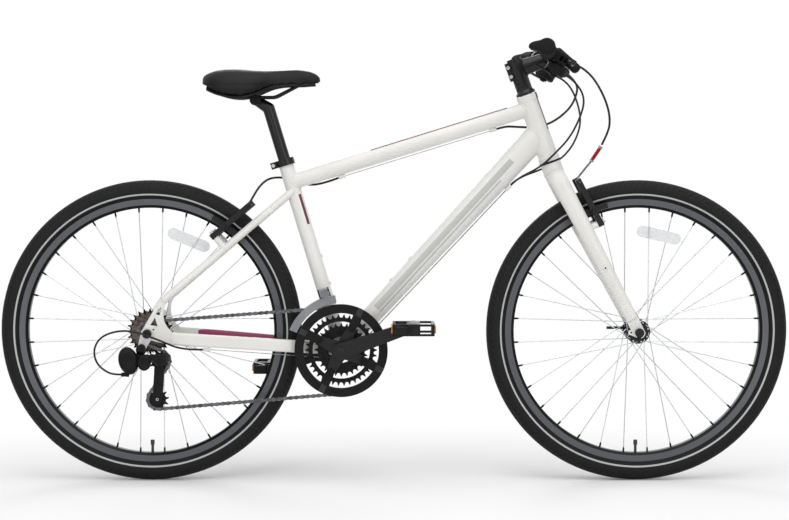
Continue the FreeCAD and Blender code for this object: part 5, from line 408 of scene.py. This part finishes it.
def step_at(tree, radius, edge):
    """1 outside a radius, with an edge as soft as paint."""
    return add(tree, "MapRange", {}, {"Value": radius, "From Min": edge - paint_edge,
                                      "From Max": edge + paint_edge})["Result"]


def ring(tree, radius, low, high):
    """1 between two radii."""
    inside = maths(tree, "SUBTRACT", 1.0, step_at(tree, radius, high))
    return maths(tree, "MULTIPLY", step_at(tree, radius, low), inside)


track_low, track_high = 0.2833, 0.2969
nipple_start = 0.266


def rim_finish(name, centre):
    """Black anodised rim with a brake track turned bare, in fine rings."""
    material, tree, shader, place = new_finish(name, {"Metallic": 0.8, "Roughness": 0.3, "Anisotropic": 0.6})
    radius, flat = wheel_radius(tree, place, centre)
    round_way = vectors(tree, "CROSS_PRODUCT", flat, leftward)["Vector"]
    turned = add(tree, "VectorTransform", {"convert_from": "OBJECT", "convert_to": "WORLD"}, {"Vector": round_way})
    tree.links.new(turned[0], shader.inputs["Tangent"])
    rings = maths(tree, "MULTIPLY", radius, scale_for(0.9))
    grooves = add(tree, "TexNoise", {"noise_dimensions": "1D"}, {"W": rings, "Scale": 1.0, "Detail": 2.0})["Fac"]
    bare = colour_mix(tree, grooves, "3f4043", "707276")
    anodised = colour_mix(tree, noise(tree, place, 40, 2.0), "0e0e0f", "1a1a1b")
    paint(tree, shader, ring(tree, radius, track_low, track_high), anodised, bare)
    emboss(tree, shader, 0.12, 0.0003, grooves)
    return material


def spoke_finish(name, centre):
    """Drawn stainless wire, with a black nipple at the rim."""
    material, tree, shader, place = new_finish(name, {"Metallic": 1.0, "Roughness": 0.26})
    radius, _ = wheel_radius(tree, place, centre)
    bright = colour_mix(tree, noise(tree, place, 12, 3.0), "a6a9ad", "d8dadd")
    paint(tree, shader, step_at(tree, radius, nipple_start), bright, "1c1c1d")
    return material


line_low, line_high, tread_start, middle_half = 0.3052, 0.3088, 0.3245, 0.005
sipe_count, sipe_slant, sipe_share, sipe_depth = 150.0, 90.0, 0.16, -3.0


def tyre_finish(name, centre):
    """Black tyre rubber: smooth sides with a pale line, and a tread with slanted sipes whose cuts are coloured near
    black as painted shade.
    """
    material, tree, shader, place = new_finish(name, {"Roughness": 0.6, "Specular IOR Level": 0.14})
    radius, flat = wheel_radius(tree, place, centre)
    upright = add(tree, "Mapping", {}, {"Vector": flat, "Rotation": (math.pi / 2, 0, 0)})["Vector"]
    turn = add(tree, "TexGradient", {"gradient_type": "RADIAL"}, {"Vector": upright})["Fac"]
    across = maths(tree, "ABSOLUTE", add(tree, "SeparateXYZ", {}, {"Vector": place})["Y"])
    slant = maths(tree, "MULTIPLY_ADD", across, sipe_slant, maths(tree, "MULTIPLY", turn, sipe_count))
    sipe = maths(tree, "LESS_THAN", maths(tree, "FRACT", slant), sipe_share)
    shoulder = maths(tree, "GREATER_THAN", across, middle_half)
    tread = maths(tree, "MULTIPLY", shoulder, step_at(tree, radius, tread_start))
    cut = maths(tree, "MULTIPLY", sipe, tread)
    rubber = colour_mix(tree, noise(tree, place, 25, 4.0), "151516", "212123")
    # The sipe cuts are coloured near black: painted shade in the tread's grooves, on top of their bump.
    rubber_with_painted_sipe_shade = colour_mix(tree, cut, rubber, "0a0a0a")
    paint(tree, shader, ring(tree, radius, line_low, line_high), rubber_with_painted_sipe_shade, "b9bab8")
    height = maths(tree, "MULTIPLY_ADD", cut, sipe_depth, noise(tree, place, 1.3, 2.0))
    emboss(tree, shader, 0.4, 0.0006, height)
    return material


def tube_finish(name):
    """Butyl tube and its valve under a black cap."""
    material, tree, shader, place = new_finish(name, {"Roughness": 0.45})
    pits = noise(tree, place, 3, 2.0)
    paint(tree, shader, pits, "1a1a1a", "2c2c2c")
    emboss(tree, shader, 0.2, 0.0004, pits)
    return material


prism, tree, shader, place = new_finish("clear prism reflector", {
    "Roughness": 0.12, "Coat Weight": 1.0, "Coat Roughness": 0.04})
cells = add(tree, "TexVoronoi", {}, {"Vector": place, "Scale": scale_for(3.2)})["Distance"]
paint(tree, shader, cells, "d5d8da", "f2f3f3")
emboss(tree, shader, 0.35, 0.0006, cells)

for name in ("front", "rear"):
    centre = joint_at[f"{name}_wheel_spin"]
    dress(rim_finish(f"{name} rim with a machined track", centre), f"{name}_rim")
    dress(spoke_finish(f"{name} stainless spokes", centre), f"{name}_spokes")
    dress(tyre_finish(f"{name} road tyre rubber", centre), f"{name}_tyre")
    dress(tube_finish(f"{name} butyl tube"), f"{name}_inner_tube")
    dress(prism, f"{name}_reflector")
    dress(satin_black, f"{name}_axle")


# Grip rubber: the soft black rubber of the grips, boots and seal, porous and moulded with
# close ribs across the bike.
rib_pitch = 0.0034
grip_rubber, tree, shader, place = new_finish("ribbed grip rubber", {"Roughness": 0.68, "Specular IOR Level": 0.15})
outward = add(tree, "SeparateXYZ", {}, {"Vector": place})["Y"]
ribs = maths(tree, "SINE", maths(tree, "MULTIPLY", outward, 2 * math.pi / rib_pitch))
pores = noise(tree, place, 1.2, 3.0)
paint(tree, shader, pores, "0d0d0d", "191919")
emboss(tree, shader, 0.5, 0.0006, maths(tree, "MULTIPLY_ADD", ribs, 0.5, pores))
dress(grip_rubber, "grips")


# Saddle: a foam pad under a glued and sewn cover of black synthetic leather on a nylon
# base. The foam fills the cover, which is pulled in along one seam on each side.
cover, tree, shader, place = new_finish("black synthetic leather", {"Specular IOR Level": 0.16})
pebble = add(tree, "TexVoronoi", {}, {"Vector": place, "Scale": scale_for(1.5)})["Distance"]
rub = noise(tree, place, 45, 3.0)
paint(tree, shader, rub, "0c0c0d", "1b1b1c")
gloss(tree, shader, rub, 0.4, 0.6)
emboss(tree, shader, 0.25, 0.0004, pebble)

cushion = copy_of("saddle_pad", "saddle_cushion")
pad_low, pad_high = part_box("saddle_pad")
pad_middle = (pad_low + pad_high) / 2
pad_growth = Matrix.Diagonal((1.0, 0.985, 1.05, 1))
cushion.data.transform(Matrix.Translation(pad_middle) @ pad_growth @ Matrix.Translation(-pad_middle))
remesh = cushion.modifiers.new("even faces", "REMESH")
remesh.mode = "VOXEL"
remesh.voxel_size = 0.004
bpy.ops.object.modifier_apply(modifier=remesh.name)
rest = [vertex.co.copy() for vertex in cushion.data.vertices]
swell_pressure, swell_frames, swell_limit = 3.0, 20, 0.0025
cloth = cushion.modifiers.new("cover", "CLOTH")
cloth.settings.use_pressure = True
cloth.settings.uniform_pressure_force = swell_pressure
cloth.settings.effector_weights.gravity = 0
cloth.point_cache.frame_start, cloth.point_cache.frame_end = 1, swell_frames
for step in range(1, swell_frames + 1):
    bpy.context.scene.frame_set(step)
bpy.ops.object.modifier_apply(modifier=cloth.name)
bpy.context.scene.frame_set(1)
seam_height, seam_half, seam_depth, seam_inner = pad_low.z + 0.024, 0.0035, 0.0016, 0.014
for vertex, start in zip(cushion.data.vertices, rest):
    move = vertex.co - start
    if move.length > swell_limit:
        move = move * (swell_limit / move.length)
    spot = start + move
    near = 1 - abs(spot.z - seam_height) / seam_half
    if near > 0 and abs(spot.y) > seam_inner:
        spot -= vertex.normal * seam_depth * near
    vertex.co = spot
smooth = cushion.modifiers.new("round", "SUBSURF")
smooth.levels = smooth.render_levels = 1
bpy.ops.object.modifier_apply(modifier=smooth.name)
bpy.ops.object.shade_smooth()
cushion.data.materials.clear()
cushion.data.materials.append(cover)
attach(cushion, "saddle")
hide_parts("saddle_pad")


# Cables: steel wire in black lined housing. The housings hang in free curves from the
# controls to the frame, and round the seat and the hanger to the rear brake and gear.
housing, tree, shader, place = new_finish("black lined cable housing", {"Roughness": 0.42, "Specular IOR Level": 0.2})
paint(tree, shader, noise(tree, place, 9, 3.0), "171718", "2a2a2b")
emboss(tree, shader, 0.1, 0.0003, noise(tree, place, 1.5, 1.0))


def cable(name, points, diameter, finish, body, ends=None):
    """A cord along a smooth curve between two places, attached to a body; with ends given, it is left in place
    unattached.
    """
    curve = bpy.data.curves.new(name, "CURVE")
    curve.dimensions = "3D"
    curve.resolution_u = 8
    spline = curve.splines.new("NURBS")
    spline.points.add(len(points) - 1)
    for knot, point in zip(spline.points, points):
        knot.co = (*point, 1)
    spline.order_u = 3
    spline.use_endpoint_u = True
    piece = bpy.data.objects.new(name, curve)
    bpy.context.scene.collection.objects.link(piece)
    line = bpy.data.meshes.new_from_object(piece)
    curve.bevel_depth = diameter / 2
    curve.bevel_resolution = 4
    curve.use_fill_caps = True
    piece = as_mesh(piece, finish)
    if ends:
        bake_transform(piece)
    else:
        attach(piece, body)
    return piece


brake_width, gear_width, wire_width = 0.005, 0.0044, 0.0016
for name, width, body, bend, points in (
        ("front_brake_cable", brake_width, "steering", None, [
            (0.3527, -0.1456, 0.9474), (0.3552, -0.1258, 0.9467), (0.3920, -0.1120, 0.9340), (0.4180, -0.0920, 0.9225),
            (0.4420, -0.0550, 0.9040), (0.4640, -0.0120, 0.8770), (0.4810, 0.0180, 0.8460), (0.4885, 0.0300, 0.8150),
            (0.4860, 0.0360, 0.7870), (0.4707, 0.0400, 0.7570)]),
        ("rear_brake_cable", brake_width, "steering", ((0.41, 0.06, 0.91), (0.27, 0.02, 0.798)), [
            (0.3527, 0.1456, 0.9474), (0.3552, 0.1258, 0.9467), (0.3860, 0.1060, 0.9300), (0.4070, 0.0850, 0.9100),
            (0.4170, 0.0620, 0.8920), (0.4148, 0.0480, 0.8726), (0.4010, 0.0380, 0.8430), (0.3740, 0.0340, 0.8180),
            (0.3450, 0.0330, 0.8020), (0.3120, 0.0310, 0.7960), (0.2700, 0.0200, 0.7980), (0.2491, 0.0000, 0.7984),
            (0.2300, 0.0000, 0.7925)]),
        ("rear_gear_cable", gear_width, "steering", ((0.42, -0.05, 0.85), (0.29, -0.015, 0.69)), [
            (0.3547, -0.1211, 0.9205), (0.3572, -0.1012, 0.9197), (0.3939, -0.0820, 0.9000), (0.4180, -0.0620, 0.8720),
            (0.4215, -0.0520, 0.8421), (0.4058, -0.0420, 0.8000), (0.3877, -0.0380, 0.7690), (0.3650, -0.0330, 0.7440),
            (0.3290, -0.0270, 0.7080), (0.2759, -0.0090, 0.6815), (0.2624, -0.0090, 0.6667)]),
        ("front_gear_cable", gear_width, "steering", ((0.42, 0.05, 0.85), (0.29, 0.015, 0.69)), [
            (0.3547, 0.1211, 0.9205), (0.3572, 0.1012, 0.9197), (0.3880, 0.0820, 0.9061), (0.4080, 0.0660, 0.8800),
            (0.4215, 0.0520, 0.8364), (0.4233, 0.0459, 0.8049), (0.4148, 0.0420, 0.7756), (0.4003, 0.0380, 0.7485),
            (0.3764, 0.0340, 0.7237), (0.3400, 0.0280, 0.7040), (0.2759, 0.0090, 0.6815), (0.2624, 0.0090, 0.6667)]),
        ("seat_loop_cable", brake_width, "frame", None, [
            (-0.1244, 0.0000, 0.6831), (-0.1750, 0.0120, 0.6639), (-0.2150, 0.0280, 0.6720), (-0.2546, 0.0240, 0.6860),
            (-0.2930, -0.0240, 0.6790), (-0.3246, -0.0655, 0.6208), (-0.3246, -0.0475, 0.6208)]),
        ("hanger_loop_cable", gear_width, "frame", None, [
            (-0.4250, -0.0650, 0.3020), (-0.4700, -0.0840, 0.3030), (-0.5160, -0.0961, 0.3250),
            (-0.5830, -0.1040, 0.3510), (-0.6400, -0.1020, 0.3405), (-0.6640, -0.0980, 0.3110),
            (-0.6600, -0.0940, 0.2750), (-0.6330, -0.0910, 0.2520), (-0.6100, -0.0900, 0.2490),
            (-0.5990, -0.0900, 0.2490)])):
    ends = bend and ("steering", "frame", *bend)
    piece = cable(name, points, width, housing, body, ends)
    if name == "front_brake_cable":
        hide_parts("control_cables")
    elif name == "seat_loop_cable":
        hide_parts("frame_cables")


# Bare wires: stranded steel pulled taut between the stops, under the tubes and round the
# guide below the bottom bracket, and between the arms of each brake.
wire_steel = oiled_steel("stranded cable wire", "aeb1b5", "74777b", [])
for name, points, body in (
        ("top_wire", [(-0.1091, 0, 0.6878), (0.0528, 0, 0.7378), (0.2147, 0, 0.7877)], "frame"),
        ("right_down_wire", [(0.2515, -0.009, 0.6549), (0.0881, -0.009, 0.4818), (-0.0753, -0.009, 0.3088),
                             (-0.1089, -0.009, 0.2760)], "frame"),
        ("left_down_wire", [(0.2515, 0.009, 0.6549), (0.0881, 0.009, 0.4818), (-0.0753, 0.009, 0.3088),
                            (-0.1089, 0.009, 0.2760)], "frame"),
        ("stay_wire", [(-0.1269, -0.009, 0.2760), (-0.2680, -0.037, 0.2890), (-0.4090, -0.065, 0.3020)], "frame"),
        ("mech_wire", [(-0.1269, 0.009, 0.2760), (-0.1467, 0.009, 0.2760), (-0.1677, -0.0016, 0.3926)], "frame"),
        ("front_arm_wire", [(0.4129, -0.0565, 0.6734), (0.4129, -0.0045, 0.6734), (0.4129, 0.0475, 0.6734)],
         "steering"),
        ("rear_arm_wire", [(-0.3246, 0.0565, 0.6208), (-0.3246, 0.0045, 0.6208), (-0.3246, -0.0475, 0.6208)],
         "frame")):
    cable(name, points, wire_width, wire_steel, body)


# Cable fittings: turned barrel stops, a ribbed rubber boot on each brake's wire, the red
# spring damper with steel ends in the front brake's line, its bent steel guide, and the
# nylon wire guide under the bottom bracket.
def lathe(name, outline, base, along, finish, body):
    """Round piece: a disc extruded and resized along its outline of distances and radii."""
    bpy.ops.object.select_all(action="DESELECT")
    bpy.ops.mesh.primitive_circle_add(vertices=24, radius=outline[0][1], fill_type="NGON")
    piece = bpy.context.object
    piece.name = name
    bpy.ops.object.mode_set(mode="EDIT")
    for (start, narrow), (end, wide) in zip(outline, outline[1:]):
        bpy.ops.mesh.extrude_region_move(TRANSFORM_OT_translate={"value": (0, 0, end - start)})
        bpy.ops.transform.resize(value=(wide / narrow, wide / narrow, 1), center_override=(0, 0, end - outline[0][0]))
    bpy.ops.mesh.select_all(action="SELECT")
    bpy.ops.mesh.normals_make_consistent(inside=False)
    bpy.ops.object.mode_set(mode="OBJECT")
    bpy.ops.object.shade_smooth_by_angle(angle=math.radians(40))
    turn = Vector(along).to_track_quat("Z", "Y").to_matrix().to_4x4()
    piece.matrix_world = Matrix.Translation(Vector(base)) @ turn
    bpy.ops.object.transform_apply()
    piece.data.materials.append(finish)
    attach(piece, body)
    return piece


stop_outline = [(0, 0.0030), (0.0008, 0.0038), (0.0055, 0.0042), (0.0058, 0.0036), (0.0102, 0.0036), (0.0105, 0.0042),
                (0.0152, 0.0042), (0.016, 0.0036)]
stop_half = 0.008
for name, middle, along in (("front_top_stop", (0.22234, 0, 0.79009), top_line),
                            ("rear_top_stop", (-0.11673, 0, 0.68546), top_line),
                            ("right_down_stop", (0.25695, -0.009, 0.6608), down_line),
                            ("left_down_stop", (0.25695, 0.009, 0.6608), down_line),
                            ("stay_stop", (-0.41703, -0.065, 0.30203), forward)):
    lathe(name, stop_outline, Vector(middle) - along * stop_half, along, plain_pearl, "frame")

boot_length, boot_ribs, boot_end, boot_valley, boot_crest = 0.03, 7, 0.0022, 0.0030, 0.0042
boot_outline = [(0, boot_end)]
for rib in range(boot_ribs):
    start = boot_length * (rib + 0.1) / boot_ribs
    boot_outline += [(start, boot_valley), (start + 0.0012, boot_crest), (start + 0.0024, boot_crest),
                     (start + 0.0034, boot_valley)]
boot_outline.append((boot_length, boot_end))
lathe("front_brake_boot", boot_outline, (0.41289, -0.0045, 0.67337), leftward, grip_rubber, "steering")
lathe("rear_brake_boot", boot_outline, (-0.32459, 0.0045, 0.62084), rightward, grip_rubber, "frame")

damper_red, tree, shader, place = new_finish("red anodised spring damper", {"Metallic": 0.7, "Roughness": 0.3})
paint(tree, shader, noise(tree, place, 4, 3.0), "9a1f2a", "c03a44")
damper_high, damper_low = Vector((0.469326, 0.040478, 0.753438)), Vector((0.447665, 0.045948, 0.719961))
damper_way = (damper_low - damper_high).normalized()
damper_length = (damper_low - damper_high).length
coil_start, coil_pitch, coil_end, coil_valley, coil_crest = 0.005, 0.0022, 0.0034, 0.0040, 0.0049
coil_outline = [(0, coil_end)]
for number in range(int((damper_length - 2 * coil_start) / coil_pitch)):
    start = coil_start + number * coil_pitch
    coil_outline += [(start, coil_valley), (start + coil_pitch * 0.4, coil_crest),
                     (start + coil_pitch * 0.8, coil_valley)]
coil_outline.append((damper_length, coil_end))
lathe("damper_spring", coil_outline, damper_high, damper_way, damper_red, "steering")
for name, start in (("damper_upper_end", -0.0005), ("damper_lower_end", damper_length - 0.0045)):
    lathe(name, [(0, 0.0036), (0.0006, 0.0050), (0.0042, 0.0050), (0.005, 0.0036)], damper_high + damper_way * start,
          damper_way, wire_steel, "steering")
cable("front_brake_guide", [(0.4477, 0.0459, 0.7200), (0.4303, 0.0647, 0.6967), (0.4129, 0.0655, 0.6734),
                            (0.4129, 0.0475, 0.6734)], brake_width, wire_steel, "steering")


def block(name, middle, sizes, rounding, segments, narrow=None):
    """Block with rounded edges, and with its front end narrowed by a factor."""
    bpy.ops.object.select_all(action="DESELECT")
    bpy.ops.mesh.primitive_cube_add(size=1, location=middle)
    piece = bpy.context.object
    piece.name = name
    piece.scale = sizes
    bpy.ops.object.transform_apply()
    for vertex in piece.data.vertices:
        vertex.select = vertex.co.x > middle[0]
    bpy.ops.object.mode_set(mode="EDIT")
    if narrow:
        bpy.ops.transform.resize(value=(1, narrow, narrow), center_override=middle)
    bpy.ops.mesh.select_all(action="SELECT")
    bpy.ops.mesh.bevel(offset=rounding, segments=segments)
    bpy.ops.object.mode_set(mode="OBJECT")
    return piece


wire_guide = block("wire_guide", (-0.11786, 0, 0.27595), (0.018, 0.036, 0.005), 0.0012, 3)
bpy.ops.object.transform_apply()
wire_guide.data.materials.append(nylon)
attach(wire_guide, "frame")


# Screws: bright zinc-plated socket heads at the brake posts, stem, seat clamp and gear
# pulleys, and black ones at the cranks. Each has a turned head with a recess for the key.
zinc = oiled_steel("zinc-plated screws", "cfd1d3", "a9abae", [])
screw_sunk = 0.001


def end_face(node, at, along, reach):
    """Furthest distance along a line of the points of a solid near it."""
    arms = [nodes[node].matrix_world @ corner.co - at for corner in nodes[node].data.vertices]
    return max(arm.dot(along) for arm in arms if (arm - along * arm.dot(along)).length < reach)


def screw(name, node, at, along, radius, body, finish=zinc):
    """Socket head on the outer face of a solid."""
    foot = at + along * (end_face(node, at, along, radius * 1.3) - screw_sunk)
    lathe(name, [(0, radius), (0.0028, radius), (0.0036, radius * 0.86), (0.0036, radius * 0.52),
                 (0.002, radius * 0.5)], foot, along, finish, body)


for end, outward in (("front", joint_axis["front_left_brake_swing"]), ("rear", joint_axis["rear_right_brake_swing"])):
    for side in ("left", "right"):
        arm = f"{end}_{side}_brake_arm"
        screw(f"{arm}_screw", arm, joint_at[f"{end}_{side}_brake_swing"], outward, 0.005, arm)
for pulley in ("guide", "tension"):
    screw(f"{pulley}_pulley_screw", "derailleur_cage", joint_at[f"{pulley}_pulley_spin"], rightward, 0.0035,
          "derailleur_cage")
screw("hanger_screw", "rear_derailleur_body", Vector((-0.56, 0, 0.307)), rightward, 0.0055, "frame")
screw("right_crank_screw", "right_crank", crank_axis, rightward, 0.0075, "crank", satin_black)
screw("left_crank_screw", "left_crank", crank_axis, leftward, 0.0075, "crank", satin_black)
clamp_screw_radius, stem_screw_behind, stem_screw_apart = 0.0043, 0.019, 0.0105
stem_rear = Vector((0.276502, 0, 0.925017)) - steer_ahead * stem_screw_behind
for name, step in (("lower", -1), ("upper", 1)):
    screw(f"stem_screw_{name}", "stem", stem_rear + steer_up * (step * stem_screw_apart), rightward,
          clamp_screw_radius, "steering")
seat_tube_length, seat_screw_drop, seat_screw_behind = 0.445, 0.0075, 0.027
seat_head = crank_axis + seat_up * seat_tube_length
screw("seat_clamp_screw", "seat_clamp", seat_head - seat_up * seat_screw_drop - seat_ahead * seat_screw_behind,
      rightward, clamp_screw_radius, "frame")


# Rear gear fittings: the threaded adjuster that takes the end of the gear housing, the hood
# over the body's spring, the cover of the link, and the cap over the cage pivot's spring.
lathe("gear_adjuster", [(0, 0.0034), (0.001, 0.0046), (0.006, 0.0050), (0.0064, 0.0043), (0.0096, 0.0043),
                        (0.0100, 0.0050), (0.0165, 0.0052), (0.0175, 0.0042)],
      (-0.6040, -0.0900, 0.2490), forward, nylon, "frame")
for name, spot, outline, slim, lean, body in (
        ("gear_hood", Vector((-0.5875, -0.0800, 0.2800)),
         [(0, 0.019), (0.004, 0.027), (0.009, 0.031), (0.016, 0.031), (0.021, 0.027), (0.024, 0.017),
          (0.0225, 0.013)], 0.7, -0.25, "frame"),
        ("gear_link_cover", Vector((-0.5515, -0.0960, 0.2765)),
         [(0, 0.014), (0.004, 0.0175), (0.009, 0.0175), (0.013, 0.014), (0.012, 0.010)], 0.85, 0.0,
         "derailleur_link")):
    lid = lathe(name, outline, spot, rightward, nylon, body)
    lean_turn = Matrix.Rotation(lean, 4, "Y")
    lid.data.transform(Matrix.Translation(spot) @ lean_turn @ Matrix.Diagonal((slim, 1, 1, 1)) @
                       lean_turn.inverted() @ Matrix.Translation(-spot))
cage_pivot, cap_reach, cap_sunk = joint_at["derailleur_tension"], 0.012, 0.0006
cap_face = end_face("derailleur_knuckle", cage_pivot, rightward, cap_reach)
lathe("pivot_cap", [(0, 0.0125), (0.0035, 0.0125), (0.0062, 0.0108), (0.0066, 0.0052), (0.0052, 0.0048)],
      cage_pivot + rightward * (cap_face - cap_sunk), rightward, nylon, "derailleur_knuckle")


# Control hoods: the nylon gear display over each control, which slopes down to the cables
# and is narrower at its lower end.
hood_sizes, hood_narrow, hood_slope = (0.070, 0.040, 0.036), 0.62, Vector((0.75, 0, -0.66)).normalized()
hood_rounding = min(hood_sizes) * hood_narrow * 0.42
for side, name in ((-1, "right"), (1, "left")):
    hood = block(f"{name}_control_hood", (0, 0, 0), hood_sizes, hood_rounding, 5, hood_narrow)
    bpy.ops.object.shade_smooth_by_angle(angle=math.radians(40))
    turn = Matrix((hood_slope, leftward, hood_slope.cross(leftward))).transposed().to_4x4()
    hood.matrix_world = Matrix.Translation((0.3755, side * 0.1270, 0.9400)) @ turn
    bpy.ops.object.transform_apply()
    hood.data.materials.append(nylon)
    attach(hood, "steering")


# Palm grips: ribbed rubber round the bar, with a wing behind it for the heel of the hand
# that rises along the grip, and a rolled outer end.
def ring_middle(spots, side, at):
    """Middle of the points of one grip that lie at a distance from the bike's plane."""
    near = [spot for spot in spots if abs(spot.y * side - at) < 0.003]
    across, heights = [spot.x for spot in near], [spot.z for spot in near]
    return Vector(((min(across) + max(across)) / 2, side * at, (min(heights) + max(heights)) / 2))


grip_steps, grip_facets, grip_margin, rib_height = 144, 48, 0.001, 0.0004
wing_reach, wing_above, wing_below, wing_lift = 0.0205, 0.46, 0.3, 0.02
wing_start, wing_rise, roll_start, roll_depth = 0.22, 0.5, 0.97, 0.3
for side, name in ((-1, "right"), (1, "left")):
    spots = [nodes["grips"].matrix_world @ vertex.co for vertex in nodes["grips"].data.vertices]
    spots = [spot for spot in spots if spot.y * side > 0]
    inner, outer = min(spot.y * side for spot in spots), max(spot.y * side for spot in spots)
    foot, tip = (ring_middle(spots, side, at) for at in (inner + grip_margin, outer - grip_margin))
    radius = (max(spot.z for spot in spots) - min(spot.z for spot in spots) - abs(tip.z - foot.z)) / 2
    length = (tip - foot).length
    bpy.ops.object.select_all(action="DESELECT")
    bpy.ops.mesh.primitive_circle_add(vertices=grip_facets, radius=radius, fill_type="NGON")
    grip = bpy.context.object
    grip.name = f"{name}_palm_grip"
    bpy.ops.object.mode_set(mode="EDIT")
    for step in range(grip_steps):
        bpy.ops.mesh.extrude_region_move(TRANSFORM_OT_translate={"value": (0, 0, length / grip_steps)})
    bpy.ops.mesh.select_all(action="SELECT")
    bpy.ops.mesh.normals_make_consistent(inside=False)
    bpy.ops.object.mode_set(mode="OBJECT")
    for vertex in grip.data.vertices:
        share = vertex.co.z / length
        rise = min(1.0, max(0.0, (share - wing_start) / wing_rise))
        rise = rise * rise * (3 - 2 * rise)
        turn = math.atan2(vertex.co.y, vertex.co.x) * side - wing_lift
        wing = math.exp(-(turn / (wing_above if turn > 0 else wing_below)) ** 2)
        rib = math.cos(2 * math.pi * vertex.co.z / rib_pitch) - 1
        rolled = math.sqrt(max(0.0, 1 - max(0.0, (share - roll_start) / (1 - roll_start)) ** 2 * roll_depth))
        reach = (radius + wing_reach * rise * wing) * rolled + rib_height * rib
        vertex.co.x, vertex.co.y = (value * reach / radius for value in (vertex.co.x, vertex.co.y))
    bpy.ops.object.shade_smooth_by_angle(angle=math.radians(50))
    outward = (tip - foot).normalized()
    behind = (outward * outward.x - forward).normalized()
    turned = Matrix((behind, outward.cross(behind), outward)).transposed().to_4x4()
    grip.matrix_world = Matrix.Translation(foot) @ turned
    bpy.ops.object.transform_apply()
    grip.data.materials.append(grip_rubber)
    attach(grip, "steering")
    if side < 0:
        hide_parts("grips")


# Headset seal: a black rubber lip that closes the gap between the head tube and the fork
# crown and keeps water out of the lower bearing.
seal_drop = 0.0016
lathe("headset_seal", [(0, 0.0224), (0.0003, 0.0247), (0.0043, 0.0247), (0.0046, 0.0224)],
      head_foot - steer_up * seal_drop, steer_up, grip_rubber, "frame")


# Guard clips: four grey nylon plates that hold the guard ring to the spider's arms, level
# with the ring's outer face.
clip_grey = moulded("grey nylon clips", "2c2d2f", 0.42)
guard_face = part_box("chain_guard")[0].y
clip_count, first_arm, clip_radius, clip_sizes = 4, 64, 0.094, (0.017, 0.0012, 0.013)
for number in range(clip_count):
    turn = math.radians(first_arm + 360 / clip_count * number)
    clip = block(f"guard_clip_{number + 1}", (0, 0, 0), clip_sizes, 0.0005, 2)
    spot = crank_axis + Vector((math.cos(turn), 0, math.sin(turn))) * clip_radius
    clip.matrix_world = Matrix.Translation((spot.x, guard_face, spot.z)) @ Matrix.Rotation(-turn, 4, "Y")
    bpy.ops.object.transform_apply()
    clip.data.materials.append(clip_grey)
    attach(clip, "crank")


# Stage: a pale floor that fades to white, a wide soft light above, a tall strip at each
# side, one behind, and a long lens square to the chain side.
bpy.ops.object.select_all(action="DESELECT")
bpy.ops.mesh.primitive_plane_add(size=30, location=(0, 0, 0))
floor = bpy.context.object
floor.name = "floor"
floor_finish, tree, shader, place = new_finish("pale floor", {"Roughness": 0.9, "Base Color": linear("fbfbfb")})
fade_start, fade_end, fade_shape = 0.25, 0.85, (0.5, 1, 1)
away = vectors(tree, "LENGTH", vectors(tree, "MULTIPLY", place, fade_shape)["Vector"])["Value"]
fade = add(tree, "MapRange", {}, {"Value": away, "From Min": fade_start, "From Max": fade_end})["Result"]
glow = add(tree, "Emission", {}, {"Color": (1, 1, 1, 1), "Strength": 1.0})["Emission"]
share = maths(tree, "MULTIPLY", fade, add(tree, "LightPath", {}, {})["Is Camera Ray"])
mixed = add(tree, "MixShader", {}, {0: share, 1: shader.outputs[0], 2: glow})["Shader"]
tree.links.new(mixed, tree.nodes["Material Output"].inputs["Surface"])
floor.data.materials.append(floor_finish)

world = bpy.data.worlds.new("white studio")
bpy.context.scene.world = world
world.use_nodes = True
tree = world.node_tree
sky = tree.nodes["Background"]
sky.inputs["Color"].default_value = (1, 1, 1, 1)
lit_strength, seen_strength = 0.42, 1.0
rays = add(tree, "LightPath", {}, {})
mirrored = maths(tree, "MAXIMUM", rays["Is Glossy Ray"], rays["Is Transmission Ray"])
seen = maths(tree, "MAXIMUM", rays["Is Camera Ray"], mirrored)
strength = add(tree, "MapRange", {}, {"Value": seen, "To Min": lit_strength, "To Max": seen_strength})["Result"]
tree.links.new(strength, sky.inputs["Strength"])

lamp_aim = Vector((0, 0, 0.5))
for name, spot, wide, tall, power in (("top light", Vector((0.3, -1.0, 3.2)), 3.0, 3.0, 55),
                                      ("left light", Vector((-1.9, -3.2, 1.7)), 0.8, 2.4, 24),
                                      ("right light", Vector((2.0, -3.4, 1.6)), 0.8, 2.4, 20),
                                      ("back light", Vector((-0.4, 3.4, 2.2)), 1.6, 1.6, 30)):
    lamp = bpy.data.lights.new(name, "AREA")
    lamp.shape = "RECTANGLE"
    lamp.size = wide
    lamp.size_y = tall
    lamp.energy = power
    holder = bpy.data.objects.new(name, lamp)
    holder.location = spot
    holder.rotation_euler = (lamp_aim - spot).to_track_quat("-Z", "Y").to_euler()
    bpy.context.scene.collection.objects.link(holder)

view_width, view_distance, view_height, view_middle = 1.7786, 4.3, 0.75, Vector((0.0012, 0, 0.498))
lens = bpy.data.cameras.new("camera")
lens.sensor_width = 36
camera = bpy.data.objects.new("camera", lens)
camera.location = (view_middle.x, -view_distance, view_height)
sight = view_middle - camera.location
lens.lens = lens.sensor_width * sight.length / view_width
camera.rotation_euler = sight.to_track_quat("-Z", "Y").to_euler()
bpy.context.scene.collection.objects.link(camera)
bpy.context.scene.camera = camera
bpy.context.scene.view_settings.view_transform = "Standard"
